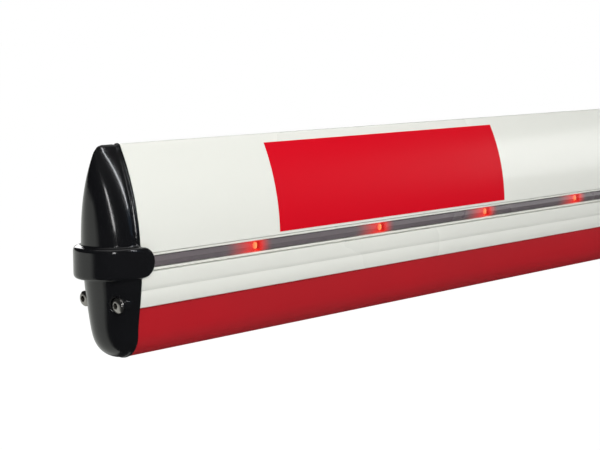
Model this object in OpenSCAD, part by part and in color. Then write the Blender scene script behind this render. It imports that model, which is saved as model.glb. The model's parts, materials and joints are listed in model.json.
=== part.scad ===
// Parking barrier gate: cabinet with its drive, and an edge-lit boom with a moulded end cap.
// Origin: centre of the base plate's underside. +Z up. The boom points to -X, in front of the -Y side.

/* [Boom] */
// Distance from the swing axis to the cut end of the boom profile
boom_reach = 2500; // [1800:10:3000]
// Length of boom behind the swing axis
boom_tail = 120; // [112:1:160]
// Whole height of the boom, bumper included
boom_h = 125; // [118:1:150]
// Radius of the boom's top edge
crown_tip_r = 2; // [1.5:0.5:4]
// Largest half width of the crown, at its foot
crown_w = 19.2; // [18.8:0.1:21]
// Wall of the boom profile
boom_wall = 2.2; // [1.6:0.1:2.6]
// Height at which the crown is widest, above the boom's underside
shoulder_z = 60.1; // [59:0.1:61]

/* [Light groove] */
// Middle of the side grooves, above the boom's underside
groove_z = 57.4; // [56:0.1:58]
// Height of the groove's mouth, lips included
groove_mouth = 10.9; // [10.5:0.1:12]
// Height of the light tube
tube_h = 6.5; // [6:0.1:7]
// Depth of the light tube, into the boom
tube_d = 5; // [4.5:0.1:5.5]
// Wall of the light tube
tube_wall = 0.8; // [0.6:0.1:1.1]
// Distance between two lamps
lamp_pitch = 114.8; // [80:0.1:200]
// First lamp, from the cut end of the profile
lamp_first = 92.2; // [40:0.1:110]

/* [Marking film] */
// Length of one film
film_len = 230; // [150:1:260]
// Distance from one film to the next, start to start
film_pitch = 460; // [380:1:600]
// Start of the first film, from the cut end of the profile
film_first = 110; // [60:1:160]
// Thickness of the film
film_t = 0.3; // [0.2:0.05:0.5]
// Lower edge of the film, above the boom's underside
film_low = 64.5; // [64:0.5:70]
// Upper edge of the film, below the top of the boom
film_drop = 5.5; // [4:0.5:20]

/* [Bumper] */
// Half width of the rubber bumper
bumper_w = 15.6; // [14:0.1:16]
// Height of the bumper below the profile
bumper_h = 30.8; // [30.2:0.1:31.4]
// Wall of the bumper
bumper_wall = 3.6; // [2.5:0.1:5]

/* [End cap] */
// How far the cap's round nose reaches ahead of the profile, above the belt
nose_top = 24.3; // [22:0.1:27]
// How far the nose reaches just under the belt
nose_low = 22.5; // [21:0.1:25]
// How far the nose draws back at the very top
nose_drop = 8.2; // [4:0.1:10]
// Height of the belt round the cap
belt_h = 18.4; // [16:0.1:20]
// Half width of the belt
belt_w = 22; // [21.6:0.1:24]
// How far the belt reaches ahead of the profile
belt_len = 29.5; // [28:0.5:34]
// Radius of the cap screws' shank
cap_screw_r = 2; // [1.5:0.1:2.2]
// Height of the cap screws, above the boom's underside
cap_screw_z = 34.4; // [33.5:0.1:36]
// Sideways place of the cap screws
cap_screw_w = 15.6; // [14.5:0.1:15.8]
// How far ahead of the profile the heads of the cap screws sit
cap_screw_seat = 13.6; // [12.5:0.1:15]

/* [Boom clamp] */
// Length of the clamp shells along the boom
clamp_len = 220; // [180:1:224]
// Clamp wall beside the boom
clamp_wall = 12; // [8:1:20]
// Clamp wall over and under the boom
clamp_lip = 15; // [13:1:22]
// Radius of the clamp bolts
clamp_bolt_r = 4; // [3:0.5:5]
// Thickness of the arm flange
flange_t = 10; // [6:1:14]
// Radius of the arm flange
flange_r = 62; // [50:1:70]
// Radius of the arm hub
hub_r = 34; // [26:1:40]

/* [Shaft and bearings] */
// Height of the swing axis
axis_z = 820; // [800:1:840]
// Radius of the output shaft
shaft_r = 17.5; // [15:0.5:20]
// Outer radius of the bearings
bearing_r = 31; // [28:0.5:36]
// Width of a bearing
bearing_w = 14; // [10:1:18]
// Outer radius of the bearing barrel
barrel_r = 42; // [39:0.5:46]
// Radius of the bearing barrel's flange
barrel_flange_r = 58; // [54:1:62]
// Length of the bearing barrel behind the drive plate
barrel_back = 46; // [40:1:52]

/* [Linkage] */
// Distance from an axis to its link pin
link_r = 70; // [60:1:78]
// Distance from the swing axis to the spring pin
spring_arm_r = 110; // [100:1:120]
// Distance between the swing axis and the crank axis
link_len = 250; // [235:1:265]
// Thickness of lever and crank
lever_t = 15; // [10:1:18]
// Half width of lever and crank arms
arm_w = 14; // [10:1:16]
// Thickness of the link
link_t = 12; // [8:1:16]
// Half width of the link
link_w = 12; // [8:1:14]
// Radius of the link pins
pin_r = 6; // [4:0.5:8]
// Radius of the crank shaft
crank_shaft_r = 12.5; // [10:0.5:15]

/* [Balance spring] */
// Outer radius of the spring
spring_r = 20; // [14:1:21]
// Wire thickness of the spring
wire_d = 6; // [4:0.5:7]
// Height of the spring's lower pin
spring_foot_z = 170; // [150:1:220]

/* [Gear motor] */
// Gearbox size
gearbox = [104, 88, 130]; // [80:1:140]
// Radius of the motor body
motor_r = 52; // [40:1:54]
// Length of the motor body
motor_len = 130; // [100:1:150]
// Length of the fan cover
fan_cover_len = 30; // [20:1:40]

/* [Cabinet] */
// Cabinet width along the boom
cab_x = 340; // [330:1:380]
// Cabinet depth
cab_y = 300; // [296:1:340]
// Height of the panels' upper edge
cab_h = 940; // [925:1:980]
// Height of the hood
hood_h = 70; // [50:1:90]
// Sheet thickness of panels, door and hood
sheet = 2.5; // [1.5:0.5:3]
// Size of the square posts
post = 25; // [20:1:30]
// Wall of the posts
post_wall = 2; // [1.5:0.5:3]
// Thickness of the base plate
base_t = 15; // [10:1:20]
// Distance between the anchor holes along X
anchor_x = 240; // [200:1:260]
// Distance between the anchor holes along Y
anchor_y = 200; // [170:1:210]
// Radius of the anchor holes
anchor_r = 7; // [5:0.5:9]
// Cable opening of the base plate
cable_hole = [120, 90]; // [60:1:140]
// Thickness of the drive plate
plate_t = 10; // [6:1:14]
// Depth of the door tray
door_d = 14; // [12:1:20]
// Gap between door and panels
door_gap = 3; // [2:0.5:5]
// Height of the door's lower edge
door_low = 18; // [16:1:40]

/* [Hinges and lock] */
// Radius of the hinge pins
hinge_pin_r = 3; // [2:0.5:4]
// Radius of the hinge knuckles
knuckle_r = 7; // [6:0.5:8]
// Length of one knuckle
knuckle_h = 24; // [16:1:40]
// Heights of the hinges' middles
hinge_zs = [180, 480, 780]; // [120:1:820]
// Radius of the lock barrel
lock_r = 10; // [7:0.5:12]
// Height of the lock
lock_z = 480; // [300:1:600]

/* [Clearances] */
// Gap of a running fit, on the radius
run_gap = 0.05; // [0.02:0.01:0.09]
// Gap of a seat that is held by a key or a shrink fit, on the radius
seat_gap = 0.02; // [0.01:0.01:0.04]
// Gap between pieces that are fitted together
fit_gap = 0.3; // [0.2:0.05:0.5]

/* [Hidden] */
$fn = 64;

// ---- places worked out from the sizes above ----
half_x = cab_x / 2;
half_y = cab_y / 2;
post_in_x = half_x - sheet - post;                      // inner face of the posts, along X
plate_y0 = -half_y + sheet + post;                      // drive plate, boom side
plate_y1 = plate_y0 + plate_t;
hub_len = 24;                                           // hub between cabinet and arm flange
hub_gap = 12;                                           // free space between cabinet and hub
clamp_depth = crown_w + clamp_wall;
boom_y = -half_y - hub_gap - hub_len - flange_t - clamp_depth;
boom_z0 = axis_z - boom_h / 2;                          // underside of the boom
gearbox_y1 = plate_y1 + gearbox[1];
lever_y0 = gearbox_y1 + 12;
lever_y1 = lever_y0 + lever_t;
link_y0 = lever_y1 + 1;
link_y1 = link_y0 + link_t;
shaft_y0 = -half_y - hub_gap - hub_len - flange_t;      // end of the shaft at the clamp
crank_z = axis_z - link_len;
rest_angle = 45;                                        // lever above the horizontal while the boom is down
panel_y1 = half_y - door_d - door_gap;                  // edge of the side panels at the door
barrel_y0 = -half_y - 2;
barrel_y1 = plate_y1 + barrel_back;
panel_z0 = base_t;
motor_y = plate_y1 + gearbox[1] / 2;
motor_top = crank_z - gearbox[2] / 2;
hinge_x = -half_x - knuckle_r - 1;
hinge_y = half_y - door_d + 4;
lock_x = post_in_x - 26;
lock_cam_y = panel_y1 - 11;                             // inner face of the lock cam
spring_pin = spring_arm_r * cos(rest_angle);            // spring pin at rest, from the swing axis
spring_y = lever_y0 - spring_r - 1;                     // the coils stay clear of lever and crank
switch_y0 = barrel_y1 + 6;
cam_t = 6;
cam_r = 30;
control_x0 = -post_in_x;                                // face that carries the control plate
box_size = [66, 140, 240];
box_y0 = -20;
box_z0 = 190;

// ---- small tools ----
module block(lo, hi) { translate(lo) cube(hi - lo); }
module round_y(x, z, r, y0, y1) { translate([x, y0, z]) rotate([-90, 0, 0]) cylinder(h = y1 - y0, r = r); }
module round_x(y, z, r, x0, x1) { translate([x0, y, z]) rotate([0, 90, 0]) cylinder(h = x1 - x0, r = r); }
module round_z(x, y, r, z0, z1) { translate([x, y, z0]) cylinder(h = z1 - z0, r = r); }
module both_sides() { children(); mirror([0, 1, 0]) children(); }
module on_boom() { translate([-boom_reach, boom_y, boom_z0]) children(); }
// a section drawn as (sideways, up), run along the boom from u0 to u1
module along_boom(u0, u1) { translate([u0, 0, 0]) rotate([90, 0, 90]) linear_extrude(u1 - u0) children(); }
module hex_y(x, z, r, y0, y1) {
    translate([x, y0, z]) rotate([-90, 0, 0]) cylinder(h = y1 - y0, r = r, $fn = 6);
}
// a shape about the swing axis, turned up from +X by the lever's angle at rest
module at_lever(z) { translate([0, 0, z]) rotate([0, -rest_angle, 0]) children(); }

// ---- boom section ----
// half width on a circle whose widest point is w at height zc
function arc_w(z, zc, w, r) = w - r + sqrt(r * r - (z - zc) * (z - zc));
function mirrored(half) = concat(half, [for (i = [len(half) - 1:-1:0]) [-half[i][0], half[i][1]]]);
tip_zc = boom_h - crown_tip_r;
crown_r = ((tip_zc - shoulder_z) ^ 2 + crown_w ^ 2 - crown_tip_r ^ 2) / (2 * (crown_w - crown_tip_r));
crown_end = atan2(tip_zc - shoulder_z, crown_r - crown_w);
mouth_low = groove_z - groove_mouth / 2;
mouth_high = groove_z + groove_mouth / 2;
groove_half = tube_h / 2 + fit_gap;
tube_w1 = crown_w - 0.6;                                // outer face of the light tube
tube_w0 = tube_w1 - tube_d;
belly_w = crown_w + 0.7;                                // widest point below the groove
belly_z = mouth_low - 2;
belly_r = 30;
crease_z = mouth_low - 10;
bead_w = crown_w - 0.7;
bead_z = bumper_h + 7.2;
bead_r = 16;

function crown_at(r, a) = [r * cos(a) - (crown_r - crown_w), shoulder_z + r * sin(a)];
function crown_arc(r, a0, a1, n) = [for (i = [0:n]) crown_at(r, a0 + (a1 - a0) * i / n)];
function angle_at(z, r) = asin((z - shoulder_z) / r);
bead_points = [for (z = [bumper_h:1.5:crease_z - 0.8]) [arc_w(z, bead_z, bead_w, bead_r), z]];
belly_points = [for (i = [0:5]) let (z = crease_z + 0.8 + (mouth_low - crease_z - 0.8) * i / 5)
    [arc_w(z, belly_z, belly_w, belly_r), z]];
groove_points = [[tube_w1, groove_z - groove_half], [tube_w0 - fit_gap, groove_z - groove_half],
    [tube_w0 - fit_gap, groove_z + groove_half], [tube_w1, groove_z + groove_half]];
crown_points = crown_arc(crown_r, angle_at(mouth_high, crown_r), crown_end, 16);
tip_points = [for (i = [0.5:1:3.5]) let (a = crown_end + (90 - crown_end) * i / 4)
    [crown_tip_r * cos(a), tip_zc + crown_tip_r * sin(a)]];
profile_half = concat(bead_points, belly_points, groove_points, crown_points, tip_points);

slot_neck = 5;                                          // half width of the bumper slot's mouth
slot_head = 9;                                          // half width of the slot inside
slot_lip = 1.8;
slot_h = 5.2;
chamber_low = bumper_h + slot_h + 1.8;
screw_pad = cap_screw_w - cap_screw_r - 1.2;            // inner edge of the pads that take the cap screws
chamber_top = mouth_high + 3;

module profile_section() {
    difference() {
        polygon(mirrored(profile_half));
        // slot that holds the bumper's head
        translate([-slot_neck, bumper_h - 1]) square([2 * slot_neck, slot_lip + 1.1]);
        translate([-slot_head, bumper_h + slot_lip]) square([2 * slot_head, slot_h - slot_lip]);
        // lower chamber, between the grooves and down to the screw pads
        polygon(mirrored([[screw_pad, chamber_low], [screw_pad, crease_z - 1], [crown_w - 3, crease_z + 1],
            [crown_w - 2.2, mouth_low - 2.4], [tube_w0 - 2.4, mouth_low - 2.4],
            [tube_w0 - 2.4, mouth_high + 0.6]]));
        // crown chamber
        polygon(mirrored(crown_arc(crown_r - boom_wall, angle_at(chamber_top, crown_r - boom_wall),
            acos((crown_r - crown_w + 1) / (crown_r - boom_wall)), 12)));
    }
}

module boom_profile() {
    color("whitesmoke") on_boom() difference() {
        along_boom(0, boom_reach + boom_tail) profile_section();
        both_sides() round_x(cap_screw_w, cap_screw_z, cap_screw_r, -1, cap_screw_bite);
    }
}

module boom_root_plug() {
    color([0.08, 0.08, 0.09]) on_boom() along_boom(boom_reach + boom_tail, boom_reach + boom_tail + 4)
        polygon(mirrored(concat(bead_points, belly_points, crown_points, tip_points)));
}

// ---- bumper ----
bumper_half = concat([for (a = [-90 + 5:10:0]) [bumper_w * cos(a), bumper_w + bumper_w * sin(a)]],
    [[bumper_w, bumper_w], [bumper_w, bumper_h], [slot_neck - fit_gap, bumper_h],
     [slot_neck - fit_gap, bumper_h + slot_lip + fit_gap],
     [slot_head - fit_gap, bumper_h + slot_lip + fit_gap],
     [slot_head - fit_gap, bumper_h + slot_h - fit_gap]]);
bumper_end = boom_reach - clamp_len / 2 - 2;            // where the bumper stops, before the clamp

module bumper_rubber() {
    bore = bumper_w - bumper_wall;
    color([0.62, 0.06, 0.09]) on_boom() along_boom(0, bumper_end) difference() {
        polygon(mirrored(bumper_half));
        polygon(mirrored(concat([for (a = [-80:20:0]) [bore * cos(a), bumper_w + bore * sin(a)]],
            [[bore, bumper_h - bumper_wall]])));
    }
}

// ---- end cap ----
bullet_foot = 12;                                       // where the lower cap starts to widen
bullet_len = 36;
bullet_swell = 4;
function bullet_w(z) = let (t = min(max((z - bullet_foot) / bullet_len, 0), 1))
    bumper_w + bullet_swell * t * t * (3 - 2 * t);
cap_half = concat([for (a = [-85:10:-5]) [bumper_w * cos(a), bumper_w + bumper_w * sin(a)]],
    [for (z = [bumper_w + 1.5:3:mouth_low]) [bullet_w(z), z]],
    crown_arc(crown_r, angle_at(mouth_high, crown_r), crown_end, 16), tip_points);
cap_outline = mirrored(cap_half);
cap_steps = 9;
cap_front = 86;                                         // angle at which the nose closes to a narrow strip
nose_straight = 70;                                     // height up to which the upper nose keeps its length
nose_taper = 5;                                         // how much shorter the nose is towards its lower end

// how far the nose reaches at height z
function nose_at(z) = z > mouth_low
    ? nose_top - nose_drop * (max(z - nose_straight, 0) / (boom_h - nose_straight)) ^ 3
    : let (t = (mouth_low - z) / mouth_low) (nose_low - nose_taper * t) * sqrt(1 - t ^ 7);

// one ring of the nose, round which every height runs on an ellipse; angle b goes from the sides to the front
function cap_ring(b) = [for (p = cap_outline) [-nose_at(p[1]) * sin(b), p[0] * cos(b), p[1]]];

module cap_body() {
    n = len(cap_outline);
    rings = [for (k = [0:cap_steps]) cap_ring(cap_front * k / cap_steps)];
    last = len(rings) - 1;
    // each side wall is a band of triangles between two rings; the ends are strips across the outline
    walls = [for (k = [0:last - 1]) for (i = [0:n - 1]) let (j = (i + 1) % n, a = k * n, b = a + n)
        each [[a + i, b + j, b + i], [a + i, a + j, b + j]]];
    rear = [for (i = [0:n / 2 - 2]) each [[i, n - 2 - i, i + 1], [i, n - 1 - i, n - 2 - i]]];
    front = [for (f = rear) [f[2] + last * n, f[1] + last * n, f[0] + last * n]];
    polyhedron(points = [for (r = rings) for (p = r) p], faces = concat(walls, rear, front));
}

// rounded plan shape that reaches x1 behind and front ahead of the profile's end
module rounded_plan(w, front, r, x1) {
    intersection() {
        translate([-front, -w]) square([front + x1, 2 * w]);
        union() {
            translate([-front + r, -w]) square([front - r + x1, 2 * w]);
            translate([-front, -w + r]) square([r, 2 * (w - r)]);
            for (s = [-1, 1]) translate([-front + r, s * (w - r)]) circle(r);
        }
    }
}

belt_z = groove_z + 0.7;
ear_x = -0.8;                                           // centre of the belt's half-round ends
module belt_plan() {
    polygon(concat([for (a = [90:5:270]) [belt_len * cos(a), belt_w * sin(a)]],
        [[belt_h, -belt_w], [belt_h, belt_w]]));
}

module belt() {
    intersection() {
        translate([0, 0, belt_z - belt_h / 2]) linear_extrude(belt_h) belt_plan();
        union() {
            block([-belt_len - 1, -belt_w - 1, belt_z - belt_h], [ear_x, belt_w + 1, belt_z + belt_h]);
            round_y(ear_x, belt_z, belt_h / 2, -belt_w - 1, belt_w + 1);
        }
    }
}

loop_len = 16;                                          // the light tube's loop round the tip
loop_r = 9;
module tube_loop(grow) {
    translate([0, 0, groove_z - tube_h / 2 - grow]) linear_extrude(tube_h + 2 * grow) difference() {
        rounded_plan(tube_w1 + grow, loop_len + grow, loop_r, 0);
        rounded_plan(tube_w0 - grow, loop_len - tube_d - grow, loop_r - tube_d, 0.1);
    }
}

screw_head_r = 4.7;
screw_head_t = 2.8;
screw_head_x = -cap_screw_seat - screw_head_t;          // front of the screw heads
cap_screw_bite = 20;
cap_hollow = [10.5, 10];                                // length and half width of the moulding's hollow
cap_hollow_low = bumper_h + 8;
cap_hollow_high = boom_h - 32;
module end_cap() {
    color([0.03, 0.03, 0.035]) on_boom() difference() {
        union() {
            cap_body();
            belt();
        }
        // room for the profile behind, and for the light tube inside the belt
        block([0, -belly_w - 0.1, -1], [belt_h, belly_w + 0.1, boom_h + 1]);
        tube_loop(fit_gap);
        // hollow of the moulding, open to the rear
        block([-cap_hollow[0], -cap_hollow[1], cap_hollow_low], [0.1, cap_hollow[1], cap_hollow_high]);
        // screw holes, with a flat spot under each head
        both_sides() round_x(cap_screw_w, cap_screw_z, cap_screw_r, -belt_len, 1);
        both_sides() round_x(cap_screw_w, cap_screw_z, screw_head_r + 0.4, -belt_len, -cap_screw_seat);
    }
}

module end_cap_screws() {
    color("silver") on_boom() both_sides() difference() {
        union() {
            round_x(cap_screw_w, cap_screw_z, cap_screw_r, screw_head_x + 0.1, cap_screw_bite);
            round_x(cap_screw_w, cap_screw_z, screw_head_r, screw_head_x, screw_head_x + screw_head_t);
        }
        translate([screw_head_x - 1, cap_screw_w, cap_screw_z]) rotate([0, 90, 0])
            cylinder(h = 2.6, r = 1.7, $fn = 6);
    }
}

// ---- light tube ----
tube_end = boom_reach + boom_tail;
hollow_w0 = tube_w0 + tube_wall;
hollow_w1 = tube_w1 - tube_wall;
hollow_h = tube_h - 2 * tube_wall;
tube_plug = 4;                                          // solid length at each end of the tube's hollow

module light_tube() {
    color([0.38, 0.36, 0.4, 0.6]) on_boom() difference() {
        union() {
            tube_loop(0);
            both_sides() block([-0.01, tube_w0, groove_z - tube_h / 2],
                [tube_end, tube_w1, groove_z + tube_h / 2]);
        }
        both_sides() block([tube_plug, hollow_w0, groove_z - hollow_h / 2],
            [tube_end - tube_plug, hollow_w1, groove_z + hollow_h / 2]);
    }
}

strip_t = 0.6;
strip_h = 4.4;
lamp_size = [3.6, 1.5, 4.4];
lamp_count = floor((tube_end - clamp_len - lamp_first) / lamp_pitch);
module lamp_strips() {
    color("darkslategray") on_boom() both_sides()
        block([tube_plug + 2, hollow_w0, groove_z - strip_h / 2],
            [tube_end - tube_plug - 2, hollow_w0 + strip_t, groove_z + strip_h / 2]);
}
module lamps() {
    color([1, 0.3, 0.15]) on_boom() both_sides() for (i = [0:lamp_count]) {
        u = lamp_first + i * lamp_pitch;
        block([u - lamp_size[0] / 2, hollow_w0 + strip_t, groove_z - lamp_size[2] / 2],
              [u + lamp_size[0] / 2, hollow_w0 + strip_t + lamp_size[1], groove_z + lamp_size[2] / 2]);
    }
}

// ---- marking films ----
film_count = floor((boom_reach - clamp_len / 2 - film_first - film_len) / film_pitch);
module marking_films() {
    inner = [for (p = crown_points) if (p[1] > film_low && p[1] < boom_h - film_drop) p];
    a0 = angle_at(film_low, crown_r);
    a1 = angle_at(boom_h - film_drop, crown_r);
    face = concat([crown_at(crown_r, a0)], inner, [crown_at(crown_r, a1)]);
    outer = crown_arc(crown_r + film_t, a0, a1, 14);
    color([0.8, 0.02, 0.1]) on_boom() both_sides() for (i = [0:film_count])
        along_boom(film_first + i * film_pitch, film_first + i * film_pitch + film_len)
            polygon(concat(outer, [for (k = [len(face) - 1:-1:0]) face[k]]));
}

// ---- boom clamp ----
clamp_x = [for (s = [-1, 0, 1]) s * (clamp_len / 2 - 16)];
clamp_low = bumper_h - clamp_lip;
clamp_high = boom_h + clamp_lip;
bolt_zs = [clamp_low + clamp_lip / 2, clamp_high - clamp_lip / 2];
// the arm flange leaves no room for a bolt in the middle of the lower row
clamp_bolt_at = [for (x = clamp_x) for (z = bolt_zs) if (x != 0 || z > boom_h) [x, z]];

hub_bolt_r = 46;                                        // circle of the screws between hub and clamp
hub_screw_r = 4;
module at_hub_screws() {
    for (a = [45:90:315]) translate([hub_bolt_r * cos(a), 0, hub_bolt_r * sin(a)]) children();
}
// boom section with its fitting gap, as the clamp is cut for it
clamp_tip_r = crown_tip_r + fit_gap;
clamp_cut = concat([[bead_w + fit_gap, bumper_h], [bead_w + fit_gap, crease_z],
    [belly_w + fit_gap, crease_z + 4], [belly_w + fit_gap, mouth_high]],
    crown_arc(crown_r + fit_gap, angle_at(mouth_high + 1, crown_r), crown_end, 12),
    [for (a = [crown_end + 10:12:89]) [clamp_tip_r * cos(a), tip_zc + clamp_tip_r * sin(a)]]);

module clamp_shell(side) {
    difference() {
        block([boom_reach - clamp_len / 2, side > 0 ? 0.2 : -clamp_depth, clamp_low],
            [boom_reach + clamp_len / 2, side > 0 ? clamp_depth : -0.2, clamp_high]);
        along_boom(boom_reach - clamp_len, boom_reach + clamp_len) polygon(mirrored(clamp_cut));
        for (p = clamp_bolt_at)
            round_y(boom_reach + p[0], p[1], clamp_bolt_r + fit_gap, -clamp_depth - 1, clamp_depth + 1);
        if (side > 0) translate([boom_reach, 0, boom_h / 2])
            at_hub_screws() round_y(0, 0, hub_screw_r, clamp_depth - 9, clamp_depth + 1);
    }
}
module clamp_shell_rear() { color("dimgray") on_boom() clamp_shell(1); }
module clamp_shell_front() { color("dimgray") on_boom() clamp_shell(-1); }

module clamp_bolts() {
    color("silver") on_boom() for (p = clamp_bolt_at) {
        round_y(boom_reach + p[0], p[1], clamp_bolt_r, -clamp_depth - 0.1, clamp_depth + 8);
        round_y(boom_reach + p[0], p[1], clamp_bolt_r * 1.7, -clamp_depth - 4.5, -clamp_depth);
    }
}
module clamp_nuts() {
    color("silver") on_boom() for (p = clamp_bolt_at) difference() {
        hex_y(boom_reach + p[0], p[1], clamp_bolt_r * 1.8, clamp_depth, clamp_depth + 6.5);
        round_y(boom_reach + p[0], p[1], clamp_bolt_r, clamp_depth - 1, clamp_depth + 9);
    }
}

// ---- output shaft and what turns with it ----
key_w = 8;
key_h = 7;
key_z = axis_z + shaft_r - 4;
module key_slot(y0, y1) { block([-key_w / 2, y0, key_z], [key_w / 2, y1, key_z + key_h]); }

module arm_hub() {
    y1 = shaft_y0 + flange_t + hub_len;
    color("gray") difference() {
        union() {
            round_y(0, axis_z, flange_r, shaft_y0, shaft_y0 + flange_t);
            round_y(0, axis_z, hub_r, shaft_y0 + flange_t - 0.1, y1);
        }
        round_y(0, axis_z, shaft_r + seat_gap, shaft_y0 - 1, y1 + 1);
        key_slot(shaft_y0 + flange_t, y1 + 1);
        translate([0, 0, axis_z]) at_hub_screws() round_y(0, 0, hub_screw_r, shaft_y0 - 1, shaft_y0 + 20);
    }
}
module arm_hub_screws() {
    color("silver") translate([0, 0, axis_z]) at_hub_screws() {
        round_y(0, 0, hub_screw_r, shaft_y0 - 8, shaft_y0 + flange_t + 0.1);
        round_y(0, 0, hub_screw_r * 1.6, shaft_y0 + flange_t, shaft_y0 + flange_t + 7);
    }
}
module output_shaft() {
    color("silver") difference() {
        round_y(0, axis_z, shaft_r, shaft_y0 + 0.5, lever_y1);
        key_slot(shaft_y0 + flange_t, shaft_y0 + flange_t + hub_len);
    }
}
module shaft_key() { color("gray") key_slot(shaft_y0 + flange_t, shaft_y0 + flange_t + hub_len); }

// an arm with a hub at the origin and a rounded end at distance r along +X
module arm(r, y0, y1, hub, bore) {
    difference() {
        union() {
            round_y(0, 0, hub, y0, y1);
            block([0, y0, -arm_w], [r, y1, arm_w]);
            round_y(r, 0, arm_w, y0, y1);
        }
        round_y(0, 0, bore, y0 - 1, y1 + 1);
    }
}
module lever() {
    color("steelblue") at_lever(axis_z) difference() {
        arm(spring_arm_r, lever_y0, lever_y1, shaft_r + 12, shaft_r + seat_gap);
        for (r = [link_r, spring_arm_r]) round_y(r, 0, pin_r, lever_y0 - 1, lever_y1 + 1);
    }
}
module lever_pins() {
    color("silver") at_lever(axis_z) {
        round_y(link_r, 0, pin_r, lever_y0, link_y1 + 3);
        round_y(spring_arm_r, 0, pin_r, spring_y - wire_d / 2 - 4, lever_y1);
    }
}
module limit_cams() {
    color("orange") for (i = [0, 1]) {
        y = switch_y0 + i * (cam_t + 6);
        difference() {
            round_y(0, axis_z, cam_r, y, y + cam_t);
            round_y(0, axis_z, shaft_r, y - 1, y + cam_t + 1);
            translate([0, 0, axis_z]) rotate([0, i * 90 + 40, 0])
                block([cam_r - 5, y - 1, -9], [cam_r + 1, y + cam_t + 1, 9]);
        }
    }
}

// ---- bearings ----
seal_t = 6;
barrel_screw_r = 3;
barrel_screw_at = (barrel_r + barrel_flange_r) / 2;
module at_barrel_screws() {
    for (a = [0:60:300])
        translate([barrel_screw_at * cos(a), 0, axis_z + barrel_screw_at * sin(a)]) children();
}
module bearing_barrel() {
    color("slategray") difference() {
        union() {
            round_y(0, axis_z, barrel_r, barrel_y0, barrel_y1);
            round_y(0, axis_z, barrel_flange_r, plate_y1, plate_y1 + 8);
        }
        round_y(0, axis_z, bearing_r, barrel_y0 - 1, barrel_y0 + seal_t + bearing_w);
        round_y(0, axis_z, bearing_r - 4, barrel_y0 - 1, barrel_y1 + 1);
        round_y(0, axis_z, bearing_r, barrel_y1 - bearing_w, barrel_y1 + 1);
        at_barrel_screws() round_y(0, 0, barrel_screw_r, plate_y1 - 1, plate_y1 + 10);
    }
}
module bearing(y0) {
    color("lightgray") difference() {
        round_y(0, axis_z, bearing_r, y0, y0 + bearing_w);
        round_y(0, axis_z, shaft_r + run_gap, y0 - 1, y0 + bearing_w + 1);
    }
}
module bearings() {
    bearing(barrel_y0 + seal_t);
    bearing(barrel_y1 - bearing_w);
}
module barrel_screws() {
    color("silver") at_barrel_screws() {
        round_y(0, 0, barrel_screw_r, plate_y0 + 2, plate_y1 + 8.1);
        round_y(0, 0, barrel_screw_r * 1.7, plate_y1 + 8, plate_y1 + 12);
    }
}
module shaft_seal() {
    color([0.1, 0.1, 0.1]) difference() {
        round_y(0, axis_z, bearing_r, barrel_y0, barrel_y0 + seal_t);
        round_y(0, axis_z, shaft_r + run_gap, barrel_y0 - 1, barrel_y0 + seal_t + 1);
    }
}

// ---- drive plate and gear motor ----
plate_z0 = motor_top;                                   // the motor hangs below the plate's edge
plate_z1 = axis_z + 105;
plate_screw_x = post_in_x + post / 2;
plate_screw_zs = [plate_z0 + 20, (plate_z0 + plate_z1) / 2, plate_z1 - 20];
gearbox_screw_x = gearbox[0] / 2 - 12;
gearbox_screw_z = gearbox[2] / 2 - 12;
gearbox_screw_r = 4;

plate_screw_r = 3;
module at_plate_screws() {
    for (s = [-1, 1]) for (z = plate_screw_zs) translate([s * plate_screw_x, 0, z]) children();
}
module at_gearbox_screws() {
    for (sx = [-1, 1]) for (sz = [-1, 1])
        translate([sx * gearbox_screw_x, 0, crank_z + sz * gearbox_screw_z]) children();
}
module drive_plate() {
    color("lightslategray") difference() {
        block([-half_x + sheet + 1, plate_y0, plate_z0], [half_x - sheet - 1, plate_y1, plate_z1]);
        round_y(0, axis_z, barrel_r, plate_y0 - 1, plate_y1 + 1);
        at_barrel_screws() round_y(0, 0, barrel_screw_r, plate_y0 + 2, plate_y1 + 1);
        at_plate_screws() round_y(0, 0, plate_screw_r, plate_y0 - 1, plate_y1 + 1);
        at_gearbox_screws() round_y(0, 0, gearbox_screw_r, plate_y0 - 1, plate_y1 + 1);
    }
}
module drive_plate_screws() {
    color("silver") at_plate_screws() {
        round_y(0, 0, plate_screw_r, plate_y0 - post_wall, plate_y1 + 0.1);
        round_y(0, 0, plate_screw_r + 2.5, plate_y1, plate_y1 + 4);
    }
}
module gearbox_case() {
    color("silver") difference() {
        union() {
            translate([-gearbox[0] / 2, plate_y1, crank_z - gearbox[2] / 2]) cube(gearbox);
            round_y(0, crank_z, 34, gearbox_y1 - 0.1, gearbox_y1 + 6);
        }
        round_y(0, crank_z, crank_shaft_r + run_gap, plate_y1 + 20, gearbox_y1 + 7);
        at_gearbox_screws() round_y(0, 0, gearbox_screw_r, plate_y1 - 1, plate_y1 + 16);
    }
}
module gearbox_screws() {
    color("silver") at_gearbox_screws() {
        round_y(0, 0, gearbox_screw_r, plate_y0 - 0.1, plate_y1 + 15);
        round_y(0, 0, gearbox_screw_r * 1.6, plate_y0 - 6, plate_y0);
    }
}
module motor_body() {
    color("silver") {
        translate([0, 0, motor_top - motor_len]) difference() {
            round_z(0, motor_y, motor_r, 0, motor_len);
            // cooling ribs
            for (a = [0:20:340]) translate([0, motor_y, 0]) rotate([0, 0, a + 10])
                block([motor_r - 5, -3.5, 10], [motor_r + 1, 3.5, motor_len - 12]);
        }
    }
}
module fan_cover() {
    z1 = motor_top - motor_len;
    color("dimgray") difference() {
        round_z(0, motor_y, motor_r - 1, z1 - fan_cover_len, z1);
        round_z(0, motor_y, motor_r - 3, z1 - fan_cover_len + 2, z1 + 1);
        for (r = [14, 26, 38]) for (a = [0:30:330])
            translate([r * cos(a), motor_y + r * sin(a), z1 - fan_cover_len - 1])
                cylinder(h = 4, r = 3, $fn = 24);
    }
}
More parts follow.
